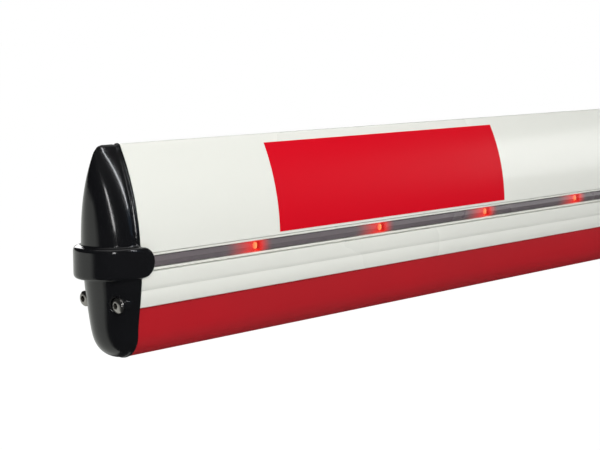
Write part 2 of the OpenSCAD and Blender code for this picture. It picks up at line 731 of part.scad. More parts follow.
module motor_terminal_box() {
    z = motor_top - motor_len / 2;
    color("dimgray") difference() {
        block([-32, motor_y + motor_r - 7, z - 30], [32, motor_y + motor_r + 24, z + 30]);
        round_z(0, motor_y, motor_r + seat_gap, z - 40, z + 40);
    }
}

// ---- crank and link ----
module crank() {
    color("steelblue") {
        at_lever(crank_z) difference() {
            arm(link_r, lever_y0, lever_y1, crank_shaft_r + 12, 1);
            round_y(link_r, 0, pin_r, lever_y0 - 1, lever_y1 + 1);
        }
        round_y(0, crank_z, crank_shaft_r, plate_y1 + 24, lever_y0 + 0.1);
    }
}
module crank_pin() {
    color("silver") at_lever(crank_z) round_y(link_r, 0, pin_r, lever_y0, link_y1 + 3);
}
link_x = link_r * cos(rest_angle);
link_low = crank_z + link_r * sin(rest_angle);
link_eye_r = link_w + 5;
link_play = 0.4;                                        // clearance of the open upper pivot
module link_rod() {
    color("goldenrod") difference() {
        union() {
            for (z = [link_low, link_low + link_len]) round_y(link_x, z, link_eye_r, link_y0, link_y1);
            block([link_x - link_w, link_y0, link_low], [link_x + link_w, link_y1, link_low + link_len]);
        }
        round_y(link_x, link_low, pin_r + run_gap, link_y0 - 1, link_y1 + 1);
        round_y(link_x, link_low + link_len, pin_r + link_play, link_y0 - 1, link_y1 + 1);
    }
}

// ---- balance spring ----
spring_top = axis_z + spring_arm_r * sin(rest_angle);
hook = spring_r + 22;                                   // from a pin to the first coil
module balance_spring() {
    color([0.25, 0.25, 0.27]) difference() {
        union() {
            round_z(spring_pin, spring_y, spring_r, spring_foot_z + hook, spring_top - hook);
            for (z = [spring_foot_z, spring_top])
                round_y(spring_pin, z, pin_r + wire_d + fit_gap,
                    spring_y - wire_d / 2, spring_y + wire_d / 2);
            block([spring_pin - wire_d / 2, spring_y - wire_d / 2, spring_foot_z + pin_r + 1],
                [spring_pin + wire_d / 2, spring_y + wire_d / 2, spring_top - pin_r - 1]);
        }
        round_z(spring_pin, spring_y, spring_r - wire_d, spring_foot_z + hook + 4, spring_top - hook - 4);
        for (z = [spring_foot_z, spring_top])
            round_y(spring_pin, z, pin_r + fit_gap, spring_y - wire_d, spring_y + wire_d);
    }
}
module spring_foot_bracket() {
    // two cheeks on a foot that is bolted to the base plate
    color("slategray") difference() {
        union() {
            block([spring_pin - 30, spring_y - 30, base_t], [spring_pin + 30, spring_y + 30, base_t + 8]);
            for (s = [-1, 1]) translate([spring_pin, spring_y + s * 12, 0])
                block([-16, -4, base_t + 7.9], [16, 4, spring_foot_z + 14]);
        }
        round_y(spring_pin, spring_foot_z, pin_r, spring_y - 40, spring_y + 40);
        for (sx = [-1, 1]) round_z(spring_pin + sx * 23, spring_y, 4, base_t - 1, base_t + 9);
    }
}
module spring_foot_bolt() {
    color("silver") {
        round_y(spring_pin, spring_foot_z, pin_r, spring_y - 20, spring_y + 20);
        hex_y(spring_pin, spring_foot_z, 10, spring_y - 22, spring_y - 16);
        hex_y(spring_pin, spring_foot_z, 10, spring_y + 16, spring_y + 22);
        for (sx = [-1, 1]) {
            round_z(spring_pin + sx * 23, spring_y, 4, base_t - 8, base_t + 9);
            round_z(spring_pin + sx * 23, spring_y, 6.5, base_t + 8, base_t + 14);
        }
    }
}

// ---- stops and limit switches ----
stop_at = 78;                                           // along the lever
stop_half = 10;
buffer_h = 12;
buffer_r = 9;
// drawn beside the lever lying along +X; the lever's flank is at z = arm_w
module at_stop(sign) { translate([0, 0, axis_z]) rotate([0, -sign * rest_angle, 0]) children(); }
stop_far = arm_w + fit_gap + buffer_h;
module stop_bars() {
    color("slategray") for (s = [-1, 1]) at_stop(s)
        block([stop_at - stop_half, plate_y1, s > 0 ? stop_far : -stop_far - 2 * stop_half],
              [stop_at + stop_half, lever_y1 - 1, s > 0 ? stop_far + 2 * stop_half : -stop_far]);
}
module stop_buffers() {
    y = (lever_y0 + lever_y1) / 2;
    color([0.12, 0.12, 0.12]) for (s = [-1, 1]) at_stop(s)
        translate([stop_at, y - 0.5, s > 0 ? arm_w + fit_gap : -stop_far])
            cylinder(h = buffer_h, r = buffer_r);
}
module switch_bracket() {
    color("silver") block([-cam_r - 36, plate_y1, axis_z - 30], [-cam_r - 33, switch_y0 + 26, axis_z + 30]);
}
switch_size = [24, 8, 34];
module limit_switches() {
    color([0.15, 0.15, 0.16]) for (i = [0, 1]) {
        y = switch_y0 - 1 + i * (cam_t + 6);
        translate([-cam_r - 33, y, axis_z - switch_size[2] / 2]) cube(switch_size);
        round_y(-cam_r - 4.7, axis_z, 4.4, y + 1.5, y + 6.5);
        block([-cam_r - 9.2, y + 3, axis_z - 3], [-cam_r - 4, y + 5, axis_z + 3]);
    }
}

// ---- cabinet ----
module base_plate() {
    color("slategray") difference() {
        block([-half_x, -half_y, 0], [half_x, half_y, base_t]);
        for (sx = [-1, 1]) for (sy = [-1, 1])
            round_z(sx * anchor_x / 2, sy * anchor_y / 2, anchor_r, -1, base_t + 1);
        block([-cable_hole[0] / 2 - 20, -cable_hole[1] / 2 + 10, -1],
            [cable_hole[0] / 2 - 20, cable_hole[1] / 2 + 10, base_t + 1]);
        for (sx = [-1, 1]) round_z(spring_pin + sx * 23, spring_y, 4, base_t - 8, base_t + 1);
    }
}
post_y1 = panel_y1 - 2;
module corner_posts() {
    color("slategray") for (sx = [-1, 1]) for (y0 = [-half_y + sheet, post_y1 - post]) difference() {
        x0 = sx > 0 ? post_in_x : -post_in_x - post;
        block([x0, y0, base_t], [x0 + post, y0 + post, cab_h]);
        block([x0 + post_wall, y0 + post_wall, base_t - 1],
            [x0 + post - post_wall, y0 + post - post_wall, cab_h + 1]);
        if (y0 < 0) for (z = plate_screw_zs)
            round_y(x0 + post / 2, z, plate_screw_r, y0 + post / 2, y0 + post + 1);
    }
}
module boom_side_panel() {
    color("gainsboro") difference() {
        block([-half_x, -half_y, panel_z0], [half_x, -half_y + sheet, cab_h]);
        round_y(0, axis_z, barrel_r + 1, -half_y - 1, -half_y + sheet + 1);
    }
}
module side_panel(x0) {
    block([x0, -half_y + sheet, panel_z0], [x0 + sheet, panel_y1, cab_h]);
}
module left_panel() { color("gainsboro") side_panel(-half_x); }
module right_panel() { color("gainsboro") side_panel(half_x - sheet); }

hood_over = 5;                                          // how far the hood stands out all round
hood_skirt = 22;                                        // how far it reaches down over the panels
hood_r = 8;
module hood_plan(grow) {
    x = half_x + hood_over + grow;
    y = half_y + hood_over + grow;
    r = hood_r + grow;
    translate([-x + r, -y]) square([2 * (x - r), 2 * y]);
    translate([-x, -y + r]) square([2 * x, 2 * (y - r)]);
    for (sx = [-1, 1]) for (sy = [-1, 1]) translate([sx * (x - r), sy * (y - r)]) circle(r);
}
hood_z0 = cab_h - hood_skirt;
hood_z1 = cab_h + hood_h - hood_skirt;
hood_screw_z = cab_h - 11;
hood_screw_y = 90;
hood_screw_r = 3;
module hood() {
    color([0.2, 0.21, 0.22]) difference() {
        translate([0, 0, hood_z0]) linear_extrude(hood_z1 - hood_z0) hood_plan(0);
        translate([0, 0, hood_z0 - 1]) linear_extrude(hood_z1 - hood_z0 + 1 - sheet) hood_plan(-sheet);
        for (sx = [-1, 1]) for (sy = [-1, 1])
            round_x(sy * hood_screw_y, hood_screw_z, hood_screw_r, sx * half_x - 12, sx * half_x + 12);
    }
}
module hood_screws() {
    x = half_x + hood_over;
    color("silver") for (turn = [0, 180]) rotate([0, 0, turn]) for (sy = [-1, 1]) {
        round_x(sy * hood_screw_y, hood_screw_z, hood_screw_r, half_x, x + 0.1);
        round_x(sy * hood_screw_y, hood_screw_z, hood_screw_r + 2.5, x, x + 3);
    }
}

// ---- control unit ----
module control_plate() {
    color("silver") block([control_x0, -half_y + sheet + 2, box_z0 - 25],
        [control_x0 + 3, post_y1 - 2, box_z0 + box_size[2] + 25]);
}
box_x0 = control_x0 + 3;
cover_t = 12;
box_wall = 3;
module control_box() {
    color([0.75, 0.76, 0.77]) difference() {
        translate([box_x0, box_y0, box_z0]) cube([box_size[0] - cover_t, box_size[1], box_size[2]]);
        translate([box_x0 + box_wall, box_y0 + box_wall, box_z0 + box_wall])
            cube([box_size[0], box_size[1] - 2 * box_wall, box_size[2] - 2 * box_wall]);
        for (y = [25, 70, 115]) round_z(box_x0 + 26, box_y0 + y, 9, box_z0 - 1, box_z0 + 4);
    }
}
cover_x0 = box_x0 + box_size[0] - cover_t;
module control_cover() {
    color([0.3, 0.31, 0.33]) difference() {
        translate([cover_x0, box_y0, box_z0]) cube([cover_t, box_size[1], box_size[2]]);
        translate([cover_x0 - 1, box_y0 + box_wall, box_z0 + box_wall])
            cube([cover_t - 2, box_size[1] - 2 * box_wall, box_size[2] - 2 * box_wall]);
    }
}
module circuit_board() {
    color("darkgreen") {
        translate([box_x0 + 8, box_y0 + 8, box_z0 + 10]) cube([1.6, box_size[1] - 16, box_size[2] - 20]);
        for (sy = [0, 1]) for (sz = [0, 1])
            round_x(box_y0 + 16 + sy * (box_size[1] - 32), box_z0 + 18 + sz * (box_size[2] - 36), 3,
                box_x0 + box_wall, box_x0 + 8.1);
    }
}
module terminal_blocks() {
    x = box_x0 + 9.6;
    color("seagreen") {
        for (i = [0:2]) translate([x, box_y0 + 16 + i * 38, box_z0 + 18]) cube([14, 32, 12]);
        for (i = [0:3]) translate([x, box_y0 + 16 + i * 28, box_z0 + 120]) cube([16, 20, 28]);
        translate([x, box_y0 + 40, box_z0 + 170]) cube([30, 56, 44]);
    }
}

// ---- door ----
door_half = half_x - 0.8;
door_z1 = hood_z0 - door_gap;
module door() {
    color("gainsboro") difference() {
        block([-door_half, half_y - door_d, door_low], [door_half, half_y, door_z1]);
        block([-door_half + sheet, half_y - door_d - 1, door_low + sheet],
            [door_half - sheet, half_y - sheet, door_z1 - sheet]);
        round_y(lock_x, lock_z, lock_r + run_gap, half_y - sheet - 1, half_y + 1);
    }
}
seal_w = 12;
module door_seal() {
    x = door_half - sheet - 2;
    y0 = post_y1 + fit_gap;
    y1 = half_y - sheet;
    z0 = door_low + sheet + 2;
    z1 = door_z1 - sheet - 2;
    color([0.1, 0.1, 0.1]) difference() {
        block([-x, y0, z0], [x, y1, z1]);
        block([-x + seal_w, y0 - 1, z0 + seal_w], [x - seal_w, y1 + 1, z1 - seal_w]);
    }
}
leaf_t = 3;
leaf_gap = 0.3;                                         // between the knuckles of one hinge
hinge_half = 1.5 * knuckle_h + leaf_gap;
module hinge_leaves() {
    // fixed leaves, each with two outer knuckles
    color("silver") for (z = hinge_zs) difference() {
        union() {
            for (k = [-1, 1]) {
                low = z + k * (knuckle_h + leaf_gap) - knuckle_h / 2;
                round_z(hinge_x, hinge_y, knuckle_r, low, low + knuckle_h);
                block([-half_x - leaf_t, hinge_y - 34, low], [-half_x, hinge_y, low + knuckle_h]);
            }
            block([-half_x - leaf_t, hinge_y - 40, z - hinge_half], [-half_x, hinge_y - 14, z + hinge_half]);
        }
        round_z(hinge_x, hinge_y, hinge_pin_r, z - 3 * knuckle_h, z + 3 * knuckle_h);
    }
}
module door_hinge_leaves() {
    half = knuckle_h / 2;
    color("silver") for (z = hinge_zs) difference() {
        union() {
            round_z(hinge_x, hinge_y, knuckle_r, z - half, z + half);
            block([hinge_x - knuckle_r, hinge_y, z - half], [hinge_x, half_y + leaf_t, z + half]);
            block([hinge_x - knuckle_r, half_y, z - half], [-half_x + 34, half_y + leaf_t, z + half]);
        }
        round_z(hinge_x, hinge_y, hinge_pin_r + run_gap, z - knuckle_h, z + knuckle_h);
    }
}
module hinge_pins() {
    color("gray") for (z = hinge_zs)
        round_z(hinge_x, hinge_y, hinge_pin_r, z - hinge_half, z + hinge_half);
}
module door_lock() {
    color("silver") difference() {
        union() {
            round_y(lock_x, lock_z, lock_r, lock_cam_y + 4, half_y + 1);
            round_y(lock_x, lock_z, lock_r + 3, half_y + fit_gap, half_y + 4);
            round_y(lock_x, lock_z, 8, lock_cam_y, lock_cam_y + 4.1);
            block([lock_x - 7, lock_cam_y, lock_z - 22], [lock_x + 7, lock_cam_y + 4, lock_z]);
        }
        // key slot
        block([lock_x - 1, half_y + 1, lock_z - 5], [lock_x + 1, half_y + 5, lock_z + 5]);
    }
}
module lock_strike() {
    color("silver") block([lock_x + 14, lock_cam_y + 4.6, lock_z - 20],
        [post_in_x, lock_cam_y + 7.6, lock_z + 20]);
}

boom_profile();
boom_root_plug();
bumper_rubber();
end_cap();
end_cap_screws();
light_tube();
lamp_strips();
lamps();
marking_films();
clamp_shell_rear();
clamp_shell_front();
clamp_bolts();
clamp_nuts();
arm_hub();
arm_hub_screws();
output_shaft();
shaft_key();
lever();
lever_pins();
limit_cams();
bearing_barrel();
bearings();
barrel_screws();
shaft_seal();
drive_plate();
drive_plate_screws();
gearbox_case();
gearbox_screws();
motor_body();
fan_cover();
motor_terminal_box();
crank();
crank_pin();
link_rod();
balance_spring();
spring_foot_bracket();
spring_foot_bolt();
stop_bars();
stop_buffers();
switch_bracket();
limit_switches();
base_plate();
corner_posts();
boom_side_panel();
left_panel();
right_panel();
hood();
hood_screws();
control_plate();
control_box();
control_cover();
circuit_board();
terminal_blocks();
door();
door_seal();
hinge_leaves();
door_hinge_leaves();
hinge_pins();
door_lock();
lock_strike();
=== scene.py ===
import json
import math
from math import cos, sin, pi, sqrt, radians

import bmesh
import bpy
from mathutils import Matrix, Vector
from mathutils.geometry import tessellate_polygon


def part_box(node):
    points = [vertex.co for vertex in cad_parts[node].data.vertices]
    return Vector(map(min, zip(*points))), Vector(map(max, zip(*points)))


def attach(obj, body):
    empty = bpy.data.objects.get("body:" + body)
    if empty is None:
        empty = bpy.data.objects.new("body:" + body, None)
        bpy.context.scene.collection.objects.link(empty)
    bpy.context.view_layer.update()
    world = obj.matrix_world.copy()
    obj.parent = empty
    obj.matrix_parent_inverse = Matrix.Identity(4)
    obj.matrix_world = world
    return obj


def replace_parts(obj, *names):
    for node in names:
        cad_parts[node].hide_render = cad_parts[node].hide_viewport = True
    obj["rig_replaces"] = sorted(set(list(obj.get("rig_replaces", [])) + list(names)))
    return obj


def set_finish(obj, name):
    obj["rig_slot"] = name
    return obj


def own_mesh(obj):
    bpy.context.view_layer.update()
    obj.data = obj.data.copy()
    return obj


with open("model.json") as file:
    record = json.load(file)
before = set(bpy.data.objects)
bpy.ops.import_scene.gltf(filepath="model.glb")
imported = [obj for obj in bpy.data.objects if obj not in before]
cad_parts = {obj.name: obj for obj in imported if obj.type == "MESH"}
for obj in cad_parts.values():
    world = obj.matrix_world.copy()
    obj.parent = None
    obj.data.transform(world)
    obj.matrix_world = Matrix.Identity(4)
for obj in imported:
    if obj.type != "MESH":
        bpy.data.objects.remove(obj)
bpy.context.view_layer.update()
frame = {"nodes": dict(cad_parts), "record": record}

MM = 0.001

# ---------------------------------------------------------------- places from the frame
profile_lo, profile_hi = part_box("boom_profile")
bumper_lo, bumper_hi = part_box("bumper_rubber")
film_lo, film_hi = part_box("marking_films")
TIP_X = profile_lo.x                                   # cut end of the boom profile
BOOM_Y = (profile_lo.y + profile_hi.y) / 2             # middle plane of the boom
BOOM_Z = bumper_lo.z                                   # underside of the boom
BOOM_H = (profile_hi.z - BOOM_Z) / MM                  # whole height of the boom, in millimetres
PROFILE_LEN = (profile_hi.x - profile_lo.x) / MM
BUMPER_LEN = (bumper_hi.x - bumper_lo.x) / MM

# ---------------------------------------------------------------- camera
CAMERA_BACK = Vector((-0.48548, -0.63918, 0.19082))    # from the lower edge of the profile's cut end
CAMERA_TURN = radians(45.33)                           # from +X towards +Y
CAMERA_DIP = radians(8.084)
CAMERA_LENS, SENSOR_WIDTH = 83.4, 36
cam_data = bpy.data.cameras.new("camera")
cam_data.lens = CAMERA_LENS
cam_data.sensor_width = SENSOR_WIDTH
cam_data.clip_start = 0.02
camera = bpy.data.objects.new("camera", cam_data)
bpy.context.scene.collection.objects.link(camera)
camera.location = Vector((TIP_X, BOOM_Y, BOOM_Z)) + CAMERA_BACK
look = Vector((cos(CAMERA_TURN) * cos(CAMERA_DIP), sin(CAMERA_TURN) * cos(CAMERA_DIP), -sin(CAMERA_DIP)))
camera.rotation_mode = "QUATERNION"
camera.rotation_quaternion = look.to_track_quat("-Z", "Y")
bpy.context.scene.camera = camera


# ---------------------------------------------------------------- mesh tools
def boom_point(u, w, z):
    """A point of the boom from millimetres along it, sideways, and above its underside."""
    return (TIP_X + u * MM, BOOM_Y + w * MM, BOOM_Z + z * MM)


def smooth_faces(mesh, crease):
    """Smooth shading, but edges sharper than crease degrees stay sharp."""
    for p in mesh.polygons:
        p.use_smooth = True
    mesh.set_sharp_from_angle(angle=radians(crease))


def linked(name, mesh):
    made = bpy.data.objects.new(name, mesh)
    bpy.context.scene.collection.objects.link(made)
    return made


def loose_solid(name, verts, faces):
    mesh = bpy.data.meshes.new(name)
    mesh.from_pydata(verts, [], faces)
    mesh.validate()
    return linked(name, mesh)


def assign(piece, body, node_name, slot_name):
    """Says which body a piece rides on, which CAD node it stands for and which slot it has."""
    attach(piece, body)
    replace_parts(piece, node_name)
    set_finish(piece, slot_name)
    return piece


def add_piece(name, verts, faces, body, stands_for, slot, crease=35):
    """Makes a mesh piece that rides on a body and stands for a CAD node."""
    piece = loose_solid(name, verts, faces)
    smooth_faces(piece.data, crease)
    return assign(piece, body, stands_for, slot)


def ring_mesh(rings, closed_ends=True):
    """Vertices and faces of a skin over rings of equally many points."""
    n = len(rings[0])
    verts = [p for r in rings for p in r]
    faces = []
    for a in range(0, n * (len(rings) - 1), n):
        b = a + n
        faces += [(a + i, a + (i + 1) % n, b + (i + 1) % n, b + i) for i in range(n)]
    if closed_ends:
        faces.append(tuple(reversed(range(n))))
        faces.append(tuple((len(rings) - 1) * n + i for i in range(n)))
    return verts, faces


def join_parts(parts):
    """Several (vertices, faces) as one."""
    verts, faces = [], []
    for v, f in parts:
        k = len(verts)
        verts += v
        faces += [tuple(i + k for i in face) for face in f]
    return verts, faces


def along_boom(outline, stations):
    """A skin over the outline (sideways, up) placed at each station along the boom."""
    return ring_mesh([[boom_point(u, w, z) for w, z in outline] for u in stations])


def steps(a, b, n):
    """n + 1 evenly spaced values."""
    return [a + (b - a) * i / n for i in range(n + 1)]


def arc(cx, cy, r, a0, a1, n):
    """n + 1 points round a centre, angles in degrees."""
    return [(cx + r * cos(radians(a)), cy + r * sin(radians(a))) for a in steps(a0, a1, n)]


def mirrored(half):
    """Half an outline, then its mirror image back to the start."""
    return half + [(-w, z) for w, z in reversed(half)]


# ---------------------------------------------------------------- boom section, as part.scad draws it
CROWN_TIP_R = 2.0
CROWN_W = 19.2
SHOULDER_Z = 60.1
GROOVE_Z = 57.4
GROOVE_MOUTH = 10.9
TUBE_H = 6.5
TUBE_D = 5.0
BUMPER_W = 15.6
BUMPER_H = 30.8
BELLY_R = 30.0
BEAD_R = 16.0
TIP_ZC = BOOM_H - CROWN_TIP_R
CROWN_R = ((TIP_ZC - SHOULDER_Z) ** 2 + CROWN_W ** 2 - CROWN_TIP_R ** 2) / (2 * (CROWN_W - CROWN_TIP_R))
CROWN_END = math.degrees(math.atan2(TIP_ZC - SHOULDER_Z, CROWN_R - CROWN_W))
MOUTH_LOW = GROOVE_Z - GROOVE_MOUTH / 2
MOUTH_HIGH = GROOVE_Z + GROOVE_MOUTH / 2
TUBE_W1 = CROWN_W - 0.6
TUBE_W0 = TUBE_W1 - TUBE_D
BELLY_W = CROWN_W + 0.7
BELLY_Z = MOUTH_LOW - 2
CREASE_Z = MOUTH_LOW - 10
BEAD_W = CROWN_W - 0.7
BEAD_Z = BUMPER_H + 7.2
LENS_GAP = 0.45                                        # shadow gap between the flank and the groove's lip
LENS_GAP_D = 1.7
LIP_ROUND = 0.35
TUBE_ROOM = 0.3                                        # between the light tube and its groove
GROOVE_HALF = TUBE_H / 2 + TUBE_ROOM
FILM_FIRST, FILM_LEN, FILM_PITCH, FILM_T = 110.0, 230.0, 460.0, 0.3
FILM_LOW, FILM_HIGH = 64.5, BOOM_H - 5.5
LAMP_FIRST, LAMP_PITCH, LAMP_LAST_GAP = 92.2, 114.8, 220
LOOP_LEN, LOOP_R = 16, 9                               # the light tube's loop round the tip


def arc_w(z, zc, w, r):
    """Half width at height z on a circle of radius r whose widest point is w at height zc."""
    return w - r + sqrt(r * r - (z - zc) ** 2)


def crown_angle(z, r=CROWN_R):
    return math.degrees(math.asin((z - SHOULDER_Z) / r))


def crown(a0, a1, n, r=CROWN_R):
    return arc(-(CROWN_R - CROWN_W), SHOULDER_Z, r, a0, a1, n)


def flank_low(n=8):
    """From the lower edge of the profile up to the lower lip of the groove."""
    edge_r, crease_half = 1.3, 0.8
    edge_w = arc_w(BUMPER_H + edge_r, BEAD_Z, BEAD_W, BEAD_R)
    points = arc(edge_w - edge_r, BUMPER_H + edge_r, edge_r, -90, 0, 4)[:-1]
    points += [(arc_w(z, BEAD_Z, BEAD_W, BEAD_R), z)
               for z in steps(BUMPER_H + edge_r, CREASE_Z - crease_half, n)]
    points += [(arc_w(z, BELLY_Z, BELLY_W, BELLY_R), z)
               for z in steps(CREASE_Z + crease_half, MOUTH_LOW, n + 2)]
    return points


def groove_wall(z_flank, side):
    """From the flank into the shadow gap, over the lip and into the groove; side is 1 below, -1 above."""
    z_lip = z_flank + side * LENS_GAP
    z_bed = GROOVE_Z - side * GROOVE_HALF
    return [(TUBE_W1 - LENS_GAP_D, z_flank), (TUBE_W1 - LENS_GAP_D, z_lip), (TUBE_W1 - LIP_ROUND, z_lip),
            (TUBE_W1, z_lip + side * LIP_ROUND), (TUBE_W1, z_bed - side * LIP_ROUND),
            (TUBE_W1 - LIP_ROUND, z_bed), (TUBE_W0 - TUBE_ROOM, z_bed)]


def profile_outline():
    groove = groove_wall(MOUTH_LOW, 1) + list(reversed(groove_wall(MOUTH_HIGH, -1)))
    face = crown(crown_angle(MOUTH_HIGH), CROWN_END, 40)
    tip = arc(0, TIP_ZC, CROWN_TIP_R, CROWN_END, 90, 8)[1:-1]
    slot_w, slot_top, neck_w, neck_top = 9, BUMPER_H + 5.2, 5, BUMPER_H + 1.8
    slot = [(slot_w, slot_top), (slot_w, neck_top), (neck_w, neck_top), (neck_w, BUMPER_H)]
    return mirrored(slot + flank_low() + groove + face + tip)


def chambers():
    """The profile's two hollows, as the maker extrudes them."""
    wall, web = 2.2, 2.4
    low, low_w = BUMPER_H + 8.8, 12.4
    lower = [(low_w, low), (low_w, CREASE_Z - 1), (CROWN_W - 3, CREASE_Z + 1),
             (CROWN_W - wall, MOUTH_LOW - web), (TUBE_W0 - web, MOUTH_LOW - web),
             (TUBE_W0 - web, MOUTH_HIGH + 0.6)]
    inner_r = CROWN_R - wall
    top = math.degrees(math.acos((CROWN_R - CROWN_W + 1) / inner_r))
    return [mirrored(lower), mirrored(crown(crown_angle(MOUTH_HIGH + 3, inner_r), top, 16, inner_r))]


def extruded(loops, u0, u1):
    """A straight bar whose section is the first loop less the others."""
    parts = []
    flat = [p for loop in loops for p in loop]
    for k, loop in enumerate(loops):
        sides = ring_mesh([[boom_point(u, w, z) for w, z in loop] for u in (u0, u1)], closed_ends=False)
        parts.append(sides if k == 0 else (sides[0], [tuple(reversed(f)) for f in sides[1]]))
    verts, faces = join_parts(parts)
    triangles = tessellate_polygon([[Vector((w, z, 0)) for w, z in loop] for loop in loops])
    where, start = [], 0
    for loop in loops:
        where += [(start + i, start + len(loop) + i) for i in range(len(loop))]
        start += 2 * len(loop)
    for t in triangles:
        a, b, c = [Vector((*flat[i], 0)) for i in t]
        order = t if (b - a).cross(c - a).z > 0 else tuple(reversed(t))
        faces.append(tuple(where[i][0] for i in reversed(order)))
        faces.append(tuple(where[i][1] for i in order))
    return verts, faces


# ---------------------------------------------------------------- boom
def make_boom_profile():
    verts, faces = extruded([profile_outline()] + chambers(), 0, PROFILE_LEN)
    return add_piece("boom_profile_skin", verts, faces, "boom", "boom_profile", "boom_white")


def make_bumper():
    """A hollow rubber section with a T foot that sits in the profile's slot."""
    wall, root = 3.6, 1.2
    bore = BUMPER_W - wall
    top = BUMPER_H - 0.05
    neck_w, foot_w, foot_low, foot_high = 4.7, 8.7, BUMPER_H + 2.1, BUMPER_H + 4.9
    outer = arc(0, BUMPER_W, BUMPER_W, -90, 0, 24)
    outer += [(BUMPER_W, BUMPER_H - root - 0.8), (BUMPER_W - 0.35, BUMPER_H - 0.5), (BUMPER_W - 0.9, top)]
    outer += [(neck_w, top), (neck_w, foot_low), (foot_w, foot_low), (foot_w, foot_high)]
    inner = arc(0, BUMPER_W, bore, -90, 0, 16) + [(bore, BUMPER_H - wall)]
    loops = [half + [(-w, z) for w, z in reversed(half[1:])] for half in (outer, inner)]
    verts, faces = extruded(loops, 0, BUMPER_LEN)
    return add_piece("bumper_extrusion", verts, faces, "boom", "bumper_rubber", "bumper_red")


def make_marking_films():
    """Thin films that lie on both faces, each with a trimmed outline."""
    rows, trim = 28, 0.08
    count = round(((film_hi.x - film_lo.x) / MM - FILM_LEN) / FILM_PITCH) + 1
    under = crown(crown_angle(FILM_LOW), crown_angle(FILM_HIGH), rows)
    upper = crown(crown_angle(FILM_LOW + trim), crown_angle(FILM_HIGH - trim), rows, CROWN_R + FILM_T)
    parts = []
    for i in range(count):
        u0 = FILM_FIRST + i * FILM_PITCH
        for s in (1, -1):
            loop = [(s * w, z) for w, z in upper + under[::-1]]
            parts.append(extruded([loop[::s]], u0, u0 + FILM_LEN))
    verts, faces = join_parts(parts)
    return add_piece("marking_film_sheets", verts, faces, "boom", "marking_films", "film_red")


def plan_path(half_w, front, corner_r, far):
    """The light tube's outer edge from above: back along one side, round the tip, out along the other."""
    path = [((u, half_w), (0, -1)) for u in (far, far / 2, 4, 0)]
    corner_u, corner_w = -front + corner_r, half_w - corner_r
    path += [((corner_u + corner_r * cos(radians(a)), corner_w + corner_r * sin(radians(a))),
              (-cos(radians(a)), -sin(radians(a)))) for a in range(90, 181, 6)]
    return path + [((u, -w), (nx, -ny)) for (u, w), (nx, ny) in reversed(path)]


def make_light_tube():
    """A clear extrusion with a ridge along its face, hollow beside the boom and folded round the tip."""
    half, round_r, ridge, crest, bevel = TUBE_H / 2, 0.9, 0.4, 0.35, 0.3
    section = [(ridge * 0.5, crest), (0, 0), (ridge * 0.5, -crest), (ridge, -half + round_r),
               (ridge + crest, -half + 0.25), (ridge + round_r, -half), (TUBE_D - bevel, -half),
               (TUBE_D, -half + bevel), (TUBE_D, half - bevel), (TUBE_D - bevel, half),
               (ridge + round_r, half), (ridge + crest, half - 0.25), (ridge, half - round_r)]
    path = plan_path(TUBE_W1, LOOP_LEN, LOOP_R, PROFILE_LEN)
    rings = [[boom_point(u + nx * d, w + ny * d, GROOVE_Z + z) for d, z in section]
             for (u, w), (nx, ny) in path]
    parts = [ring_mesh(rings)]
    wall, plug = 0.8, 4
    corners = ((TUBE_W0 + wall, -half + wall), (TUBE_W1 - wall, -half + wall),
               (TUBE_W1 - wall, half - wall), (TUBE_W0 + wall, half - wall))
    for s in (1, -1):
        inner = along_boom([(s * w, GROOVE_Z + z) for w, z in corners], [plug, PROFILE_LEN - plug])
        parts.append((inner[0], [tuple(reversed(f)) if s > 0 else f for f in inner[1]]))
    verts, faces = join_parts(parts)
    return add_piece("light_tube_lens", verts, faces, "boom", "light_tube", "tube_smoke", crease=25)


def lamp_places():
    count = int((PROFILE_LEN - LAMP_LAST_GAP - LAMP_FIRST) // LAMP_PITCH)
    return [LAMP_FIRST + i * LAMP_PITCH for i in range(count + 1)]


def make_lamps():
    """Domed lamps, waisted a little on the side away from the tip, on the strip inside each tube."""
    w0, depth, long, high = TUBE_W0 + 1.4, 1.5, 1.8, 2.2
    n, rows, waisting = 24, 6, 0.35
    parts = []
    for u in lamp_places():
        for s in (1, -1):
            rings = []
            for k in range(rows + 1):
                b = k * pi / 2 / rows
                scale = max(cos(b), 0.02)
                ring = []
                for i in range(n):
                    a = 2 * pi * i / n
                    waist = 1 - waisting * max(cos(a), 0) ** 2
                    ring.append(boom_point(u + long * scale * cos(a) * waist, s * (w0 + depth * sin(b)),
                                           GROOVE_Z + high * scale * sin(a)))
                rings.append(ring)
            verts, faces = ring_mesh(rings)
            parts.append((verts, [tuple(reversed(f)) for f in faces] if s > 0 else faces))
    verts, faces = join_parts(parts)
    return add_piece("lamp_domes", verts, faces, "boom", "lamps", "lamp_red", crease=60)


def apply_modifiers(piece):
    """Bakes a piece's modifiers into its mesh."""
    bpy.context.view_layer.update()
    done = bpy.data.meshes.new_from_object(piece.evaluated_get(bpy.context.evaluated_depsgraph_get()))
    piece.modifiers.clear()
    piece.data = done


def drop(*solids):
    for s in solids:
        bpy.data.objects.remove(s)


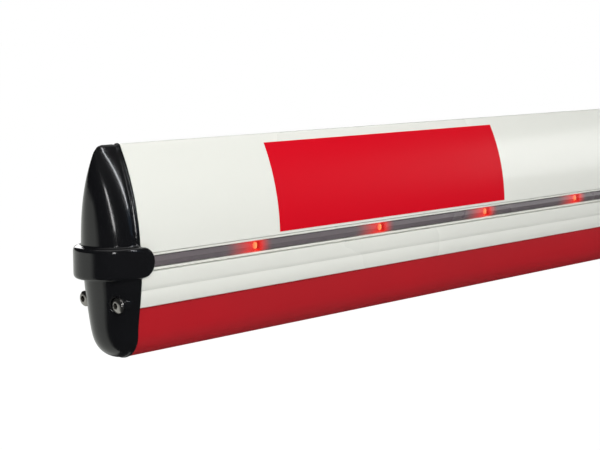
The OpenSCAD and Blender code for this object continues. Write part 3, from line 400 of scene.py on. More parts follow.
# ---------------------------------------------------------------- end cap
NOSE_TOP = 24.3                                        # how far the nose reaches ahead, above the belt
NOSE_LOW = 22.5                                        # and just under the belt
NOSE_DROP = 8.2                                        # how far it draws back at the very top
NOSE_TAPER = 5.0                                       # how much shorter it is towards its lower end
NOSE_BROW = 3.5                                        # how the nose's top front edge rounds
NOSE_STRAIGHT = 70.0                                   # height up to which the upper nose keeps its length
CAP_LIFT = 0.5                                         # how far the rear rim stands proud of the boom
RIM_LEN = 2.6
BELT_Z = GROOVE_Z + 0.7
BELT_H = 18.4
BELT_W = 22.0
BELT_FRONT = 29.5
EAR_R = BELT_H / 2
SCREW_W = 15.6
SCREW_Z = 34.4
SCREW_SEAT = -13.6                                     # where the screw heads sit on the cap
SCREW_FLAT_R = 5.1                                     # the seat milled round each head
CAP_MID_Z = BOOM_H * 0.45
BULLET_SPREAD, BULLET_FROM, BULLET_RISE = 4.0, 12, 36  # how the lower part widens upwards
CROWN_SET = 0.6                                        # how much rounder the cap's crown is than the boom's
EAR_BACK = -0.8                                        # middle of the belt's half round ears
BELT_EDGE = 2.2                                        # rounding of the belt's edges
BODY_GAP = 0.12                                        # between the belt's ears and the profile
CAP_VOXEL, CAP_SMOOTHING = 0.45, 14                    # blending of the moulding
BOSS_R, BOSS_SEAT, BOSS_END = 2.5, -13.4, -6.0         # the raised seats just behind the screw heads


def smooth_step(x):
    x = min(max(x, 0), 1)
    return x * x * (3 - 2 * x)


def cap_outline():
    """The cap's section: a bullet below the belt and the boom's crown above it."""
    bullet = [(BUMPER_W * cos(radians(a)), BUMPER_W + BUMPER_W * sin(radians(a))) for a in range(-88, 1, 4)]
    bullet += [(BUMPER_W + BULLET_SPREAD * smooth_step((z - BULLET_FROM) / BULLET_RISE), z)
               for z in steps(BUMPER_W + 1.5, MOUTH_LOW, 22)]
    top_r = CROWN_TIP_R + CROWN_SET
    above = crown(crown_angle(MOUTH_HIGH), CROWN_END - 1.5, 34)
    tip = arc(0, TIP_ZC - CROWN_SET, top_r, CROWN_END, 90, 8)[1:-1]
    return mirrored(bullet + above + tip)


def nose_at(z):
    """How far the nose reaches at height z."""
    if z > MOUTH_LOW:
        t = max(z - BOOM_H + NOSE_BROW, 0) / NOSE_BROW
        brow = NOSE_BROW * (1 - sqrt(max(1 - t * t, 0)))
        return NOSE_TOP - NOSE_DROP * (max(z - NOSE_STRAIGHT, 0) / (BOOM_H - NOSE_STRAIGHT)) ** 3 - brow
    t = (MOUTH_LOW - z) / MOUTH_LOW
    return (NOSE_LOW - NOSE_TAPER * t) * sqrt(max(1 - t ** 7, 0.0002))


def cap_ring(back, share, proud):
    """The outline where the nose is back ahead of the boom, plus a share of the rest; proud lifts it out."""
    ring, least = [], 0.02
    for w, z in cap_outline():
        nose = nose_at(z)
        rear = min(back, nose * 0.9)
        u = rear + (nose - rear) * share
        slim = max(sqrt(max(1 - (u / nose) ** 2, 0)), least) * (1 + proud / BELLY_W)
        ring.append(boom_point(-u, w * slim, CAP_MID_Z + (z - CAP_MID_Z) * (1 + proud / (BOOM_H / 2))))
    return ring


def cap_body():
    """The round nose, with a rim at the rear and a small groove in front of it."""
    start = RIM_LEN + 1.7
    rear = [(0, 0.1), (0.4, CAP_LIFT), (RIM_LEN - 0.4, CAP_LIFT), (RIM_LEN, 0.1),
            (RIM_LEN + 0.8, -0.5), (start, 0)]
    rings = [cap_ring(back, 0, proud) for back, proud in rear]
    rings += [cap_ring(start, sin(radians(b)), 0) for b in range(6, 91, 6)]
    n = len(rings[0])
    verts, faces = ring_mesh(rings, closed_ends=False)
    last = (len(rings) - 1) * n
    faces += [(n - 1 - i, n - 2 - i, i + 1, i) for i in range(n // 2 - 1)]
    faces += [(last + i, last + i + 1, last + n - 2 - i, last + n - 1 - i) for i in range(n // 2 - 1)]
    return loose_solid("cap_body", verts, [tuple(reversed(f)) for f in faces])


def belt_plan(inset):
    """The belt seen from above, drawn in by inset: half an ellipse round the front, straight sides behind."""
    rear = EAR_R + EAR_BACK - inset * 0.3
    front = [((BELT_FRONT - inset) * cos(radians(a)), (BELT_W - inset) * sin(radians(a)))
             for a in range(90, 271, 5)]
    return [(rear, BELT_W - inset)] + front + [(rear, inset - BELT_W)]


def cap_belt():
    """The belt as a stack of plan outlines whose top and bottom edges are rounded."""
    half = BELT_H / 2
    rings = [(-half + BELT_EDGE + BELT_EDGE * sin(radians(a)), BELT_EDGE * (1 - cos(radians(a))))
             for a in range(-90, 1, 15)]
    rings += [(-z, inset) for z, inset in reversed(rings)]
    skins = [[boom_point(u, w, BELT_Z + z) for u, w in belt_plan(inset)] for z, inset in rings]
    return loose_solid("cap_belt", *ring_mesh(skins))


def turned_u(profile, w, z, n=40):
    """A closed turned solid along the boom from (u, radius) pairs, about the line at (w, z)."""
    rings = [[boom_point(u, w + r * cos(2 * pi * i / n), z + r * sin(2 * pi * i / n)) for i in range(n)]
             for u, r in profile]
    return ring_mesh(rings)


def at_both_screws(name, u0, u1, r):
    """Two round bars along the boom, one about each cap screw."""
    bars = [turned_u([(u0, r), (u1, r)], s * SCREW_W, SCREW_Z) for s in (1, -1)]
    return loose_solid(name, *join_parts(bars))


def boolean(piece, tool, kind):
    """Cuts, joins or intersects a piece with a solid."""
    cut = piece.modifiers.new("cut", "BOOLEAN")
    cut.operation = kind
    cut.solver = "EXACT"
    cut.object = tool
    apply_modifiers(piece)


def make_end_cap():
    """A moulded cap with a belt round it, blended where they meet, and flats for its two screws."""
    body, belt = cap_body(), cap_belt()
    ears = loose_solid("ear_cut", *belt_rear_cut())
    boolean(belt, ears, "INTERSECT")
    inside_w = BELLY_W + BODY_GAP
    room = loose_solid("room", *box_mesh((0.0, -inside_w, -1), (14, inside_w, BOOM_H + 1)))
    boolean(belt, room, "DIFFERENCE")
    boolean(body, belt, "UNION")
    screw_cut = at_both_screws("screw_cut", -BELT_FRONT, SCREW_SEAT, SCREW_FLAT_R)
    boolean(body, screw_cut, "DIFFERENCE")
    bosses = at_both_screws("bosses", BOSS_SEAT, BOSS_END, BOSS_R)
    boolean(body, bosses, "UNION")
    skin = body.modifiers.new("skin", "REMESH")
    skin.mode = "VOXEL"
    skin.voxel_size = CAP_VOXEL * MM
    skin.use_smooth_shade = True
    soften_skin = body.modifiers.new("soften", "SMOOTH")
    soften_skin.factor = 0.5
    soften_skin.iterations = CAP_SMOOTHING
    apply_modifiers(body)
    verts = [tuple(v.co) for v in body.data.vertices]
    faces = [tuple(p.vertices) for p in body.data.polygons]
    drop(body, belt, ears, room, screw_cut, bosses)
    return add_piece("end_cap_moulding", verts, faces, "boom", "end_cap", "cap_black", crease=180)


def box_mesh(lo, hi):
    """A box tool from two corners in the boom's millimetres."""
    (x0, y0, z0), (x1, y1, z1) = lo, hi
    verts = [boom_point(u, w, z) for u in (x0, x1) for w, z in ((y0, z0), (y1, z0), (y1, z1), (y0, z1))]
    faces = [(3, 2, 1, 0), (4, 5, 6, 7), (0, 1, 5, 4), (1, 2, 6, 5), (2, 3, 7, 6), (3, 0, 4, 7)]
    return verts, faces


def belt_rear_cut():
    """What the belt keeps: all of it ahead of the ears' centre, and a half round behind."""
    outline = [(-BELT_FRONT - 1, -EAR_R), (-BELT_FRONT - 1, EAR_R)] + arc(EAR_BACK, 0, EAR_R, 90, -90, 30)
    rings = [[boom_point(u, w, BELT_Z + z) for u, z in outline] for w in (-BELT_W - 1, BELT_W + 1)]
    return ring_mesh(rings)


def make_cap_screws():
    """Button heads with a hexagon socket, their washers' edge and the shank behind."""
    n, head, shank, socket = 48, 4.7, 2.0, 1.7
    turned = [(20, shank * 0.8), (19, shank), (SCREW_SEAT, shank), (SCREW_SEAT, head - 0.1),
              (SCREW_SEAT - 0.25, head), (-14.6, head - 0.1), (-15.35, head - 0.7), (-15.9, head - 1.6),
              (-16.2, head - 2.3)]
    hexagon = [socket / cos(radians((360 * i / n) % 60 - 30)) for i in range(n)]
    rows = [(u, [r] * n) for u, r in turned]
    socket_rows = ((-16.2, 1.04), (-16.05, 1.0), (-14.2, 1.0), (-14.0, 0.3))
    rows += [(u, [k * r for r in hexagon]) for u, k in socket_rows]
    parts = []
    for s in (1, -1):
        rings = [[boom_point(u, s * SCREW_W + reach[i] * cos(2 * pi * i / n),
                             SCREW_Z + reach[i] * sin(2 * pi * i / n)) for i in range(n)]
                 for u, reach in rows]
        verts, faces = ring_mesh(rings)
        parts.append((verts, [tuple(reversed(f)) for f in faces]))
    verts, faces = join_parts(parts)
    return add_piece("cap_button_screws", verts, faces, "boom", "end_cap_screws", "stainless")


# ---------------------------------------------------------------- cabinet and drive
HOOK_PIN = 12.3 * MM                                   # from the end of the spring to its pin's middle
HOOK_WIDE, HOOK_TALL = 9.6 * MM, 11.4 * MM             # tall, so that it clears the pin when short
MERGE_M, FLAT_DEG, SHARP_DEG = 0.00001, 0.6, 50        # how CAD meshes are cleaned before their edges break


def make_balance_spring():
    """A closely coiled tension spring with a hook at each end."""
    lo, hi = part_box("balance_spring")
    wire, outer, per_turn = 3.0 * MM, 20 * MM, 22
    end_room, coil_pitch, lead = 24 * MM, 7.8 * MM, 3 * MM
    cx, cy = (lo.x + hi.x) / 2, (lo.y + hi.y) / 2
    coil_r = outer - wire
    z0, z1 = lo.z + end_room, hi.z - end_room
    count = int((z1 - z0) / coil_pitch) * per_turn
    low_pin, high_pin = lo.z + HOOK_PIN, hi.z - HOOK_PIN

    def hook(pin_z, start, stop):
        turns = [radians(d) for d in range(start, stop, 20)]
        return [Vector((cx + HOOK_WIDE * cos(a), cy, pin_z + HOOK_TALL * sin(a))) for a in turns]

    path = hook(low_pin, 200, 451)
    path.append(Vector((cx + 0.3 * coil_r, cy, z0 - lead)))
    for k in range(count + 1):
        a = 2 * pi * k / per_turn
        path.append(Vector((cx + coil_r * cos(a), cy + coil_r * sin(a), z0 + (z1 - z0) * k / count)))
    path.append(Vector((cx + 0.3 * coil_r, cy, z1 + lead)))
    path += hook(high_pin, -90, 161)
    verts, faces = swept(path, wire, 10)
    piece = add_piece("balance_spring_coil", verts, faces, "cabinet", "balance_spring", "spring_steel", 80)
    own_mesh(piece)
    return piece


def swept(path, r, sides):
    """A round wire along a path of points."""
    rings = []
    up = Vector((0, 1, 0))
    for k, p in enumerate(path):
        ahead = (path[min(k + 1, len(path) - 1)] - path[max(k - 1, 0)]).normalized()
        side = ahead.cross(up)
        side = side.normalized() if side.length > 0.05 else Vector((1, 0, 0))
        up = side.cross(ahead).normalized()
        rings.append([tuple(p + (side * cos(2 * pi * i / sides) + up * sin(2 * pi * i / sides)) * r)
                      for i in range(sides)])
    return ring_mesh(rings)


def soften(node, body, slot_name, edge, crease=35):
    """Stands in for a CAD piece with the same shape, its sharp edges broken by edge millimetres."""
    source = frame["nodes"][node]
    work = bmesh.new()
    work.from_mesh(source.data)
    bmesh.ops.remove_doubles(work, verts=work.verts, dist=MERGE_M)
    bmesh.ops.dissolve_limit(work, angle_limit=radians(FLAT_DEG), verts=work.verts, edges=work.edges)
    mesh = bpy.data.meshes.new(node + "_finish")
    work.to_mesh(mesh)
    work.free()
    piece = linked(node + "_finish", mesh)
    bevel = piece.modifiers.new("edge", "BEVEL")
    bevel.width = edge * MM
    bevel.segments = 2
    bevel.limit_method = "ANGLE"
    bevel.angle_limit = radians(crease)
    bevel.use_clamp_overlap = True
    apply_modifiers(piece)
    piece.data.name = node + "_finish"
    smooth_faces(piece.data, SHARP_DEG)
    weights = piece.modifiers.new("weights", "WEIGHTED_NORMAL")
    weights.keep_sharp = True
    apply_modifiers(piece)
    piece.data.materials.clear()
    return assign(piece, body, node, slot_name)


# ---------------------------------------------------------------- shader groups
def group(name, inputs, outputs):
    """An empty node group with its named sockets; returns the tree and its input and output nodes."""
    tree = bpy.data.node_groups.new(name, "ShaderNodeTree")
    for label, kind, value in inputs:
        socket = tree.interface.new_socket(label, in_out="INPUT", socket_type="NodeSocket" + kind)
        socket.default_value = value
    for label, kind in outputs:
        tree.interface.new_socket(label, in_out="OUTPUT", socket_type="NodeSocket" + kind)
    return tree, tree.nodes.new("NodeGroupInput"), tree.nodes.new("NodeGroupOutput")


def node(tree, kind, links=(), **values):
    """A shader node with settings by name, and (input, source socket) links."""
    made = tree.nodes.new("ShaderNode" + kind)
    for key, value in values.items():
        setattr(made, key, value)
    for key, source in links:
        if isinstance(source, (int, float, tuple)):
            made.inputs[key].default_value = source
        else:
            tree.links.new(source, made.inputs[key])
    return made


def math_node(tree, operation, a, b=0.0):
    return node(tree, "Math", [(0, a), (1, b)], operation=operation).outputs[0]


def vector_node(tree, operation, a, b=(0, 0, 0)):
    """The vector and the value that a vector operation gives."""
    made = node(tree, "VectorMath", [(0, a), (1, b)], operation=operation)
    return made.outputs[0], made.outputs[1]


def mix_colour(tree, factor, a, b):
    return node(tree, "Mix", [(0, factor), (6, a), (7, b)], data_type="RGBA").outputs[2]


def noise(tree, scale, detail=3.0, stretch=None, roughness=0.5):
    """Noise over the object's own coordinates, in metres; stretch scales each axis."""
    place = node(tree, "TexCoord").outputs["Object"]
    if stretch:
        place, _ = vector_node(tree, "MULTIPLY", place, stretch)
    return node(tree, "TexNoise", [("Vector", place), ("Scale", scale), ("Detail", detail),
                                   ("Roughness", roughness)]).outputs[0]


def span(tree, value, low, high, to_low=0.0, to_high=1.0):
    return node(tree, "MapRange", [(0, value), (1, low), (2, high), (3, to_low), (4, to_high)]).outputs[0]


def make_tone_group():
    """Slow change of a colour over the surface, with a finer mottle."""
    tree, given, out = group("tone", [("Colour", "Color", (0.5, 0.5, 0.5, 1)), ("Depth", "Float", 0.1),
                                      ("Scale", "Float", 8.0)], [("Colour", "Color"), ("Mask", "Float")])
    coarse = noise(tree, given.outputs["Scale"], 4)
    mask = span(tree, coarse, 0.35, 0.65)
    amount = math_node(tree, "MULTIPLY", mask, given.outputs["Depth"])
    darker, _ = vector_node(tree, "MULTIPLY", given.outputs["Colour"], (0.55, 0.55, 0.56))
    tree.links.new(mix_colour(tree, amount, given.outputs["Colour"], darker), out.inputs["Colour"])
    tree.links.new(mask, out.inputs["Mask"])
    return tree


def make_grain_group():
    """Height of a fine surface grain: orange peel in paint, texture in moulded plastic."""
    tree, given, out = group("grain", [("Scale", "Float", 900.0), ("Coarse", "Float", 0.3)],
                             [("Height", "Float")])
    fine = noise(tree, given.outputs["Scale"], 2)
    broad = noise(tree, math_node(tree, "MULTIPLY", given.outputs["Scale"], 0.22), 2)
    both = node(tree, "Mix", [(0, given.outputs["Coarse"]), (2, fine), (3, broad)], data_type="FLOAT")
    tree.links.new(both.outputs[0], out.inputs["Height"])
    return tree


def make_wear_group():
    """Mask of the outer edges, broken up as handling wears them."""
    tree, given, out = group("edge_wear", [("Amount", "Float", 0.5), ("Scale", "Float", 60.0)],
                             [("Mask", "Float")])
    edge = span(tree, node(tree, "NewGeometry").outputs["Pointiness"], 0.52, 0.6)
    patches = span(tree, noise(tree, given.outputs["Scale"], 5), 0.42, 0.62)
    worn = math_node(tree, "MULTIPLY", edge, patches)
    tree.links.new(math_node(tree, "MULTIPLY", worn, given.outputs["Amount"]), out.inputs["Mask"])
    return tree


def make_dust_group():
    """Mask of settled dust: thicker on what faces up, in soft patches."""
    tree, given, out = group("dust", [("Amount", "Float", 0.2), ("Scale", "Float", 14.0)],
                             [("Mask", "Float")])
    facing = node(tree, "TexCoord").outputs["Normal"]
    up = span(tree, node(tree, "SeparateXYZ", [(0, facing)]).outputs[2], 0.2, 1.0, 0.15, 1.0)
    patches = span(tree, noise(tree, given.outputs["Scale"], 6, roughness=0.6), 0.35, 0.7)
    settled = math_node(tree, "MULTIPLY", up, patches)
    tree.links.new(math_node(tree, "MULTIPLY", settled, given.outputs["Amount"]), out.inputs["Mask"])
    return tree


def make_drawn_group():
    """Fine lines along one way, as extruding, drawing or grinding leaves them."""
    tree, given, out = group("drawn_lines", [("Stretch", "Vector", (1.0, 60.0, 60.0)),
                                             ("Scale", "Float", 20.0)], [("Height", "Float")])
    place = node(tree, "TexCoord").outputs["Object"]
    pulled, _ = vector_node(tree, "MULTIPLY", place, given.outputs["Stretch"])
    lines = node(tree, "TexNoise", [("Vector", pulled), ("Scale", given.outputs["Scale"]), ("Detail", 3.0)])
    tree.links.new(lines.outputs[0], out.inputs["Height"])
    return tree


TONE = make_tone_group()
GRAIN = make_grain_group()
WEAR = make_wear_group()
DUST = make_dust_group()
DRAWN = make_drawn_group()


def placed(tree, which, **values):
    """A copy of a shared group in a material, with its own values."""
    made = tree.nodes.new("ShaderNodeGroup")
    made.node_tree = which
    for key, value in values.items():
        if hasattr(value, "is_output"):
            tree.links.new(value, made.inputs[key])
        else:
            made.inputs[key].default_value = value
    return made


# ---------------------------------------------------------------- materials
DUST_COLOUR = (0.36, 0.33, 0.28, 1)


def new_material(name):
    material = bpy.data.materials.new(name)
    material.use_nodes = True
    tree = material.node_tree
    return material, tree, tree.nodes["Principled BSDF"]


def bumped(tree, height, depth, under=None):
    """A normal from a height of the given depth in metres, over another normal if there is one."""
    links = [("Strength", 1.0), ("Distance", depth), ("Height", height)]
    if under:
        links.append(("Normal", under))
    return node(tree, "Bump", links).outputs[0]


def finish(name, colour, rough, tone=0.12, tone_scale=9.0, rough_change=0.06, grain_scale=900.0,
           grain_depth=0.0, wear=0.0, worn=(0.6, 0.6, 0.6, 1), dust=0.0, lines=None, line_depth=0.0,
           metal=0.0, worn_metal=0.0, coat=0.0, coat_rough=0.05, ior=1.45, shine=0.5):
    """A finish from the shared groups. Depths are in metres."""
    material, tree, shader = new_material(name)
    toned = placed(tree, TONE, Colour=(*colour, 1), Depth=tone, Scale=tone_scale)
    base = toned.outputs["Colour"]
    shader.inputs["Metallic"].default_value = metal
    if wear:
        mask = placed(tree, WEAR, Amount=wear).outputs["Mask"]
        base = mix_colour(tree, mask, base, worn)
        if worn_metal:
            tree.links.new(span(tree, mask, 0, 1, metal, worn_metal), shader.inputs["Metallic"])
    gloss = span(tree, toned.outputs["Mask"], 0, 1, rough, rough + rough_change)
    if dust:
        mask = placed(tree, DUST, Amount=dust).outputs["Mask"]
        base = mix_colour(tree, mask, base, DUST_COLOUR)
        gloss = math_node(tree, "ADD", gloss, math_node(tree, "MULTIPLY", mask, 0.4))
    tree.links.new(base, shader.inputs["Base Color"])
    tree.links.new(gloss, shader.inputs["Roughness"])
    normal = None
    if grain_depth:
        normal = bumped(tree, placed(tree, GRAIN, Scale=grain_scale).outputs["Height"], grain_depth)
    if lines:
        normal = bumped(tree, placed(tree, DRAWN, Stretch=lines).outputs["Height"], line_depth, normal)
    if normal:
        tree.links.new(normal, shader.inputs["Normal"])
    shader.inputs["Coat Weight"].default_value = coat
    shader.inputs["Coat Roughness"].default_value = coat_rough
    shader.inputs["IOR"].default_value = ior
    shader.inputs["Specular IOR Level"].default_value = shine
    return material


ALONG_BOOM = (1.0, 60.0, 60.0)
UPRIGHT = (60.0, 60.0, 1.0)
ROUND_SHAFT = (40.0, 1.5, 40.0)


def boom_white():
    return finish("boom_white", (0.86, 0.865, 0.82), 0.26, tone=0.035, tone_scale=5, grain_scale=700,
                  grain_depth=0.00001, lines=ALONG_BOOM, line_depth=0.000004, dust=0.02, coat=0.35,
                  coat_rough=0.12)


def bumper_red():
    return finish("bumper_red", (0.47, 0.006, 0.014), 0.42, tone=0.14, tone_scale=11, rough_change=0.12,
                  grain_scale=1400, grain_depth=0.00003, lines=ALONG_BOOM, line_depth=0.00002, dust=0.02,
                  shine=0.22)


def cap_black():
    return finish("cap_black", (0.006, 0.0062, 0.0075), 0.13, tone=0.2, tone_scale=30, rough_change=0.06,
                  grain_scale=380, grain_depth=0.000018, dust=0.02, coat=0.5, coat_rough=0.05)


def stainless():
    return finish("stainless", (0.42, 0.405, 0.385), 0.24, tone=0.25, tone_scale=120, rough_change=0.12,
                  lines=(3.0, 60.0, 60.0), line_depth=0.000006, metal=1.0)


def film_red():
    return finish("film_red", (0.69, 0.0008, 0.0125), 0.3, tone=0.03, tone_scale=6, grain_scale=2500,
                  grain_depth=0.000006, shine=0.12)


def clamp_cast():
    return finish("clamp_cast", (0.05, 0.053, 0.057), 0.42, tone=0.08, tone_scale=20, grain_scale=800,
                  grain_depth=0.00008, wear=0.15, worn=(0.45, 0.45, 0.46, 1), worn_metal=0.9, dust=0.03)


def zinc_steel():
    return finish("zinc_steel", (0.56, 0.58, 0.62), 0.3, tone=0.3, tone_scale=60, rough_change=0.18,
                  grain_scale=2000, grain_depth=0.00001, metal=1.0, dust=0.05)


def shaft_steel():
    return finish("shaft_steel", (0.5, 0.5, 0.5), 0.18, tone=0.3, tone_scale=40, rough_change=0.15,
                  lines=ROUND_SHAFT, line_depth=0.00001, metal=1.0)


def frame_paint():
    return finish("frame_paint", (0.065, 0.085, 0.105), 0.45, tone=0.2, tone_scale=10, grain_scale=600,
                  grain_depth=0.00005, wear=0.5, worn=(0.35, 0.35, 0.36, 1), worn_metal=0.9, dust=0.18)


def arm_paint():
    return finish("arm_paint", (0.02, 0.06, 0.13), 0.38, tone=0.18, tone_scale=20, grain_scale=700,
                  grain_depth=0.00004, wear=0.5, worn=(0.4, 0.4, 0.4, 1), worn_metal=0.9, dust=0.06)


def link_steel():
    return finish("link_steel", (0.62, 0.42, 0.12), 0.32, tone=0.35, tone_scale=45, rough_change=0.15,
                  lines=UPRIGHT, line_depth=0.00001, metal=0.9)


def cam_plastic():
    return finish("cam_plastic", (0.6, 0.13, 0.012), 0.42, tone=0.1, grain_scale=1500, grain_depth=0.00003)


def gear_cast():
    return finish("gear_cast", (0.45, 0.455, 0.46), 0.45, tone=0.22, tone_scale=25, grain_scale=450,
                  grain_depth=0.00012, metal=0.85, dust=0.12)


def motor_cast():
    return finish("motor_cast", (0.1, 0.108, 0.115), 0.48, tone=0.25, tone_scale=18, grain_scale=420,
                  grain_depth=0.00012, wear=0.35, worn=(0.3, 0.3, 0.3, 1), dust=0.16)


def black_plastic():
    return finish("black_plastic", (0.014, 0.014, 0.015), 0.5, tone=0.2, tone_scale=25, grain_scale=1600,
                  grain_depth=0.00005, dust=0.08)


def spring_steel():
    return finish("spring_steel", (0.11, 0.11, 0.115), 0.3, tone=0.35, tone_scale=35, rough_change=0.2,
                  metal=0.9)


def black_rubber():
    return finish("black_rubber", (0.016, 0.016, 0.017), 0.62, tone=0.2, tone_scale=30, grain_scale=1500,
                  grain_depth=0.00006, dust=0.08)


def cabinet_paint():
    return finish("cabinet_paint", (0.56, 0.575, 0.57), 0.4, tone=0.06, tone_scale=4, grain_scale=520,
                  grain_depth=0.00007, wear=0.25, worn=(0.42, 0.42, 0.41, 1), dust=0.1)


def hood_paint():
    return finish("hood_paint", (0.022, 0.025, 0.028), 0.42, tone=0.06, tone_scale=6, grain_scale=520,
                  grain_depth=0.00008, wear=0.12, worn=(0.2, 0.2, 0.2, 1), dust=0.03)


def zinc_sheet():
    return finish("zinc_sheet", (0.5, 0.52, 0.54), 0.38, tone=0.45, tone_scale=38, rough_change=0.2,
                  metal=0.85, dust=0.08)


def box_grey():
    return finish("box_grey", (0.42, 0.43, 0.425), 0.48, tone=0.08, grain_scale=1500, grain_depth=0.00005,
                  dust=0.05)


def board_green():
    return finish("board_green", (0.008, 0.11, 0.035), 0.3, tone=0.35, tone_scale=180, grain_scale=1200,
                  grain_depth=0.00004)


def terminal_green():
    return finish("terminal_green", (0.02, 0.27, 0.09), 0.42, tone=0.1, grain_scale=1500, grain_depth=0.00004)


def painted_lamp_glow(tree, ahead, behind):
    """Mask of the painted glow round each lamp: 1 beside a lamp, falling to 0 at the given metres towards the
    tip and away from it.
    """
    first, pitch = LAMP_FIRST * MM, LAMP_PITCH * MM
    x = node(tree, "SeparateXYZ", [(0, node(tree, "TexCoord").outputs["Object"])]).outputs[0]
    along = math_node(tree, "SUBTRACT", x, TIP_X + first)
    near = math_node(tree, "SUBTRACT", along, math_node(tree, "MULTIPLY", math_node(
        tree, "ROUND", math_node(tree, "DIVIDE", along, pitch)), pitch))
    towards_tip = span(tree, near, -ahead, 0, 0, 1)
    away = span(tree, near, 0, behind, 1, 0)
    both = math_node(tree, "MULTIPLY", towards_tip, away)
    return math_node(tree, "POWER", both, 1.7)


def tube_smoke():
    """Smoked clear plastic, with a painted red glow (emission on the tube itself) for a short way either side
    of each lamp.
    """
    material, tree, shader = new_material("tube_smoke")
    toned = placed(tree, TONE, Colour=(0.185, 0.16, 0.175, 1), Depth=0.15, Scale=14.0)
    # Painted glow: the lamps' light through the tube is painted on as emission, a redder base and a clearer
    # skin, and reaches further towards the tip.
    glow = painted_lamp_glow(tree, 0.028, 0.012)
    base = mix_colour(tree, glow, toned.outputs["Colour"], (0.45, 0.01, 0.008, 1))
    tree.links.new(base, shader.inputs["Base Color"])
    painted_glow_emission = mix_colour(tree, glow, (0, 0, 0, 1), (0.80, 0.012, 0.006, 1))
    tree.links.new(painted_glow_emission, shader.inputs["Emission Color"])
    shader.inputs["Emission Strength"].default_value = 1.0
    tree.links.new(span(tree, glow, 0.55, 0.95, 0.82, 0.25), shader.inputs["Alpha"])
    normal = bumped(tree, placed(tree, DRAWN, Stretch=ALONG_BOOM).outputs["Height"], 0.000006)
    tree.links.new(normal, shader.inputs["Normal"])
    tree.links.new(span(tree, toned.outputs["Mask"], 0, 1, 0.2, 0.3), shader.inputs["Roughness"])
    return material


def lamp_red():
    """A lit lamp: yellow-orange in the middle of its dome, deeper orange to its edge."""
    material, tree, shader = new_material("lamp_red")
    shade = noise(tree, 900, 2)
    core = mix_colour(tree, span(tree, shade, 0.3, 0.7), (1.0, 0.42, 0.13, 1), (1.0, 0.58, 0.2, 1))
    tree.links.new(core, shader.inputs["Emission Color"])
    tree.links.new(mix_colour(tree, shade, (1, 0.2, 0.05, 1), (1, 0.1, 0.03, 1)), shader.inputs["Base Color"])
    shader.inputs["Emission Strength"].default_value = 1.6
    shader.inputs["Roughness"].default_value = 0.3
    return material


# ---------------------------------------------------------------- studio
FLOOR_WHITE = 0.93                                     # how far the camera sees the floor as white
# the floor as mirrored in shiny parts: painted reflection colour, darker than the floor
FLOOR_DIM = (0.035, 0.036, 0.038, 1)
EVEN_LIGHT = (0.40, 0.41, 0.40, 1)
ROOM_DARK = (0.012, 0.012, 0.014, 1)
WALL_PALE = (0.72, 0.74, 0.70, 1)
WALL_WAY = (-0.616, 0.788, 0.0)                        # which way the pale wall lies
WINDOW_BLUE = (0.10, 0.17, 0.27, 1)
WINDOW_WAY = (0.385, -0.907, 0.17)


def area_light(name, at, aim, size, watts, tint=(1, 1, 1), glints=True, glow=True):
    """A soft panel; without glints it isn't mirrored, without glow it is only mirrored."""
    data = bpy.data.lights.new(name, "AREA")
    data.shape = "RECTANGLE"
    data.size, data.size_y = size
    data.energy = watts
    data.color = tint
    lamp = linked(name, data)
    lamp.visible_glossy = glints
    lamp.visible_diffuse = glow
    lamp.location = at
    lamp.rotation_mode = "QUATERNION"
    lamp.rotation_quaternion = (Vector(aim) - Vector(at)).to_track_quat("-Z", "Y")


def wall_seen(tree, direction):
    """How much of the pale wall lies this way: a band on one side, below eye level."""
    flat, _ = vector_node(tree, "MULTIPLY", direction, (1, 1, 0))
    level, _ = vector_node(tree, "NORMALIZE", flat)
    _, side = vector_node(tree, "DOT_PRODUCT", level, WALL_WAY)
    rise = node(tree, "SeparateXYZ", [(0, direction)]).outputs["Z"]
    return math_node(tree, "MULTIPLY", span(tree, side, 0.34, 0.62), span(tree, rise, 0.04, 0.12, 1.0, 0.0))


def floor_pale():
    """Pale studio floor, kept near white where it meets the surroundings. Glossy rays see a painted
    reflection instead: a dark floor with a pale wall band.
    """
    material, tree, shader = new_material("floor_pale")
    tree.links.new(placed(tree, TONE, Colour=(0.9, 0.9, 0.9, 1), Depth=0.01, Scale=0.6).outputs["Colour"],
                   shader.inputs["Base Color"])
    shader.inputs["Roughness"].default_value = 0.8
    shader.inputs["Specular IOR Level"].default_value = 0.1
    path = node(tree, "LightPath").outputs
    white = node(tree, "Emission", [("Color", (1, 1, 1, 1)), ("Strength", 1.05)])
    place = node(tree, "TexCoord").outputs["Object"]
    away, _ = vector_node(tree, "SUBTRACT", place, (TIP_X, BOOM_Y, BOOM_Z))
    # Painted reflection: what shiny parts mirror of the floor is an emission, dark with a pale wall band, not
    # the lit floor.
    shade = mix_colour(tree, wall_seen(tree, away), FLOOR_DIM, WALL_PALE)
    painted_reflection = node(tree, "Emission", [("Color", shade), ("Strength", 1.0)])
    reflected = node(tree, "MixShader", [(0, path["Is Glossy Ray"]), (1, shader.outputs[0]),
                                         (2, painted_reflection.outputs[0])])
    share = math_node(tree, "MULTIPLY", path["Is Camera Ray"], FLOOR_WHITE)
    blend = node(tree, "MixShader", [(0, share), (1, reflected.outputs[0]), (2, white.outputs[0])])
    out = [n for n in tree.nodes if n.bl_idname == "ShaderNodeOutputMaterial"][0]
    tree.links.new(blend.outputs[0], out.inputs["Surface"])
    return material


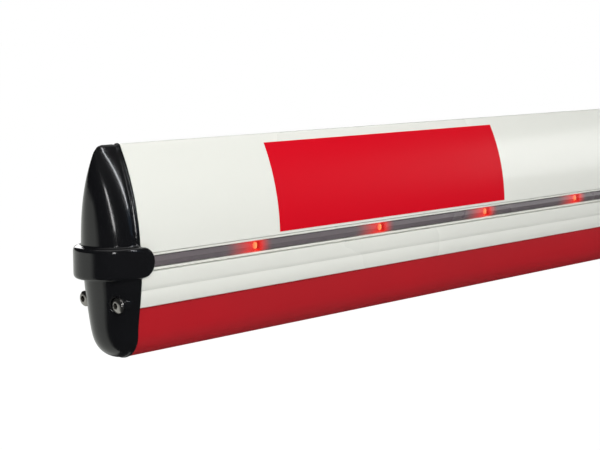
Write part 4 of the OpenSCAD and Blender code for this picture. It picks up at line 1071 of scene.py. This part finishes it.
def studio_world():
    """White behind everything and even light; reflections see a dark room, a pale wall and a window."""
    world = bpy.data.worlds.new("studio")
    world.use_nodes = True
    tree = world.node_tree
    background = tree.nodes["Background"]
    path = node(tree, "LightPath").outputs
    towards = node(tree, "TexCoord").outputs["Generated"]
    room = mix_colour(tree, wall_seen(tree, towards), ROOM_DARK, WALL_PALE)
    _, window = vector_node(tree, "DOT_PRODUCT", towards, WINDOW_WAY)
    room = mix_colour(tree, span(tree, window, 0.985, 0.993), room, WINDOW_BLUE)
    seen = mix_colour(tree, path["Is Glossy Ray"], EVEN_LIGHT, room)
    tree.links.new(mix_colour(tree, path["Is Camera Ray"], seen, (1, 1, 1, 1)), background.inputs["Color"])
    background.inputs["Strength"].default_value = 1.0
    bpy.context.scene.world = world


def make_floor():
    """A flat floor just under the base plate."""
    half, n, drop_by = 60, 12, 0.0005
    sides = steps(-half, half, n)
    verts = [(x, y, 0) for y in sides for x in sides]
    corner = [j * (n + 1) + i for j in range(n) for i in range(n)]
    floor = loose_solid("floor", verts, [(k, k + 1, k + n + 2, k + n + 1) for k in corner])
    floor.data.materials.append(floor_pale())
    floor.location.z = -drop_by


def set_studio():
    tip = Vector((TIP_X, BOOM_Y, BOOM_Z + 0.07))
    further = tip + Vector((1.2, 0, 0))
    area_light("key", tip + Vector((-0.35, -0.95, 0.75)), tip, (0.9, 0.7), 9.6, (1, 0.995, 0.97),
               glints=False)
    area_light("far_fill", tip + Vector((1.4, -2.2, 0.9)), further, (1.6, 1.0), 3.2, glints=False)
    area_light("streak_high", tip + Vector((0.66, -1.80, 1.02)), tip, (0.085, 0.95), 4.4, (0.95, 0.97, 1),
               glow=False)
    area_light("streak_low", tip + Vector((-0.80, -1.98, 0.50)), tip, (0.13, 0.80), 3.6, glow=False)
    area_light("overhead", (-1.2, -0.4, 3.6), (-1.2, 0, 0), (4.0, 2.4), 20)
    area_light("cabinet_side", (1.9, -2.6, 1.9), (0, 0, 0.6), (1.4, 1.4), 16)
    area_light("cabinet_door", (-0.6, 3.0, 2.0), (0, 0, 0.5), (1.6, 1.6), 22)
    studio_world()
    make_floor()
    bpy.context.scene.view_settings.view_transform = "Standard"


# ---------------------------------------------------------------- the whole gate
FINISHES = {f.__name__: f for f in (
    boom_white, bumper_red, cap_black, stainless, tube_smoke, lamp_red, film_red, clamp_cast, zinc_steel,
    shaft_steel, frame_paint, arm_paint, link_steel, cam_plastic, gear_cast, motor_cast, black_plastic,
    spring_steel, black_rubber, cabinet_paint, hood_paint, zinc_sheet, box_grey, board_green, terminal_green)}
SLOT_OF = {part["node"]: part["material_slot"] for part in frame["record"]["subparts"]}
BODY_OF = {n: body for body, names in frame["record"]["behaviour"]["bodies"].items() for n in names}
EDGE_OF = {"hood": 2.0, "door": 1.4, "base_plate": 1.2, "clamp_shell_rear": 2.2, "clamp_shell_front": 2.2,
           "arm_hub": 1.2, "gearbox_case": 2.0, "control_box": 2.0, "control_cover": 1.6, "stop_buffers": 1.0,
           "motor_body": 0.8, "fan_cover": 0.8, "motor_terminal_box": 2.0, "lever": 1.0, "crank": 1.0,
           "door_lock": 0.6, "bearing_barrel": 1.0, "drive_plate": 0.8, "stop_bars": 0.8, "link_rod": 0.8}
PLAIN_EDGE = 0.35
KEPT_AS_IS = ("lamp_strips", "circuit_board")


def finish_cad_pieces(done):
    """Gives every CAD piece without a finer stand-in broken edges."""
    return [soften(name, BODY_OF[name], SLOT_OF[name], EDGE_OF.get(name, PLAIN_EDGE))
            for name in frame["nodes"] if name not in done and name not in KEPT_AS_IS]


def build_gate():
    """Every piece, then a finish on each piece and on each carried-over CAD node."""
    fine = [make_boom_profile(), make_bumper(), make_marking_films(), make_end_cap(), make_cap_screws(),
            make_light_tube(), make_lamps(), make_balance_spring()]
    done = {n for piece in fine for n in piece["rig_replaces"]}
    fine += finish_cad_pieces(done)
    materials = {slot: make() for slot, make in FINISHES.items()}
    for piece in fine:
        piece.data.materials.clear()
        piece.data.materials.append(materials[piece["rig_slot"]])
    for name, cad in frame["nodes"].items():
        if not cad.material_slots:
            cad.data.materials.append(materials[SLOT_OF[name]])
        for slot in cad.material_slots:
            slot.material = materials[SLOT_OF[name]]


set_studio()
build_gate()
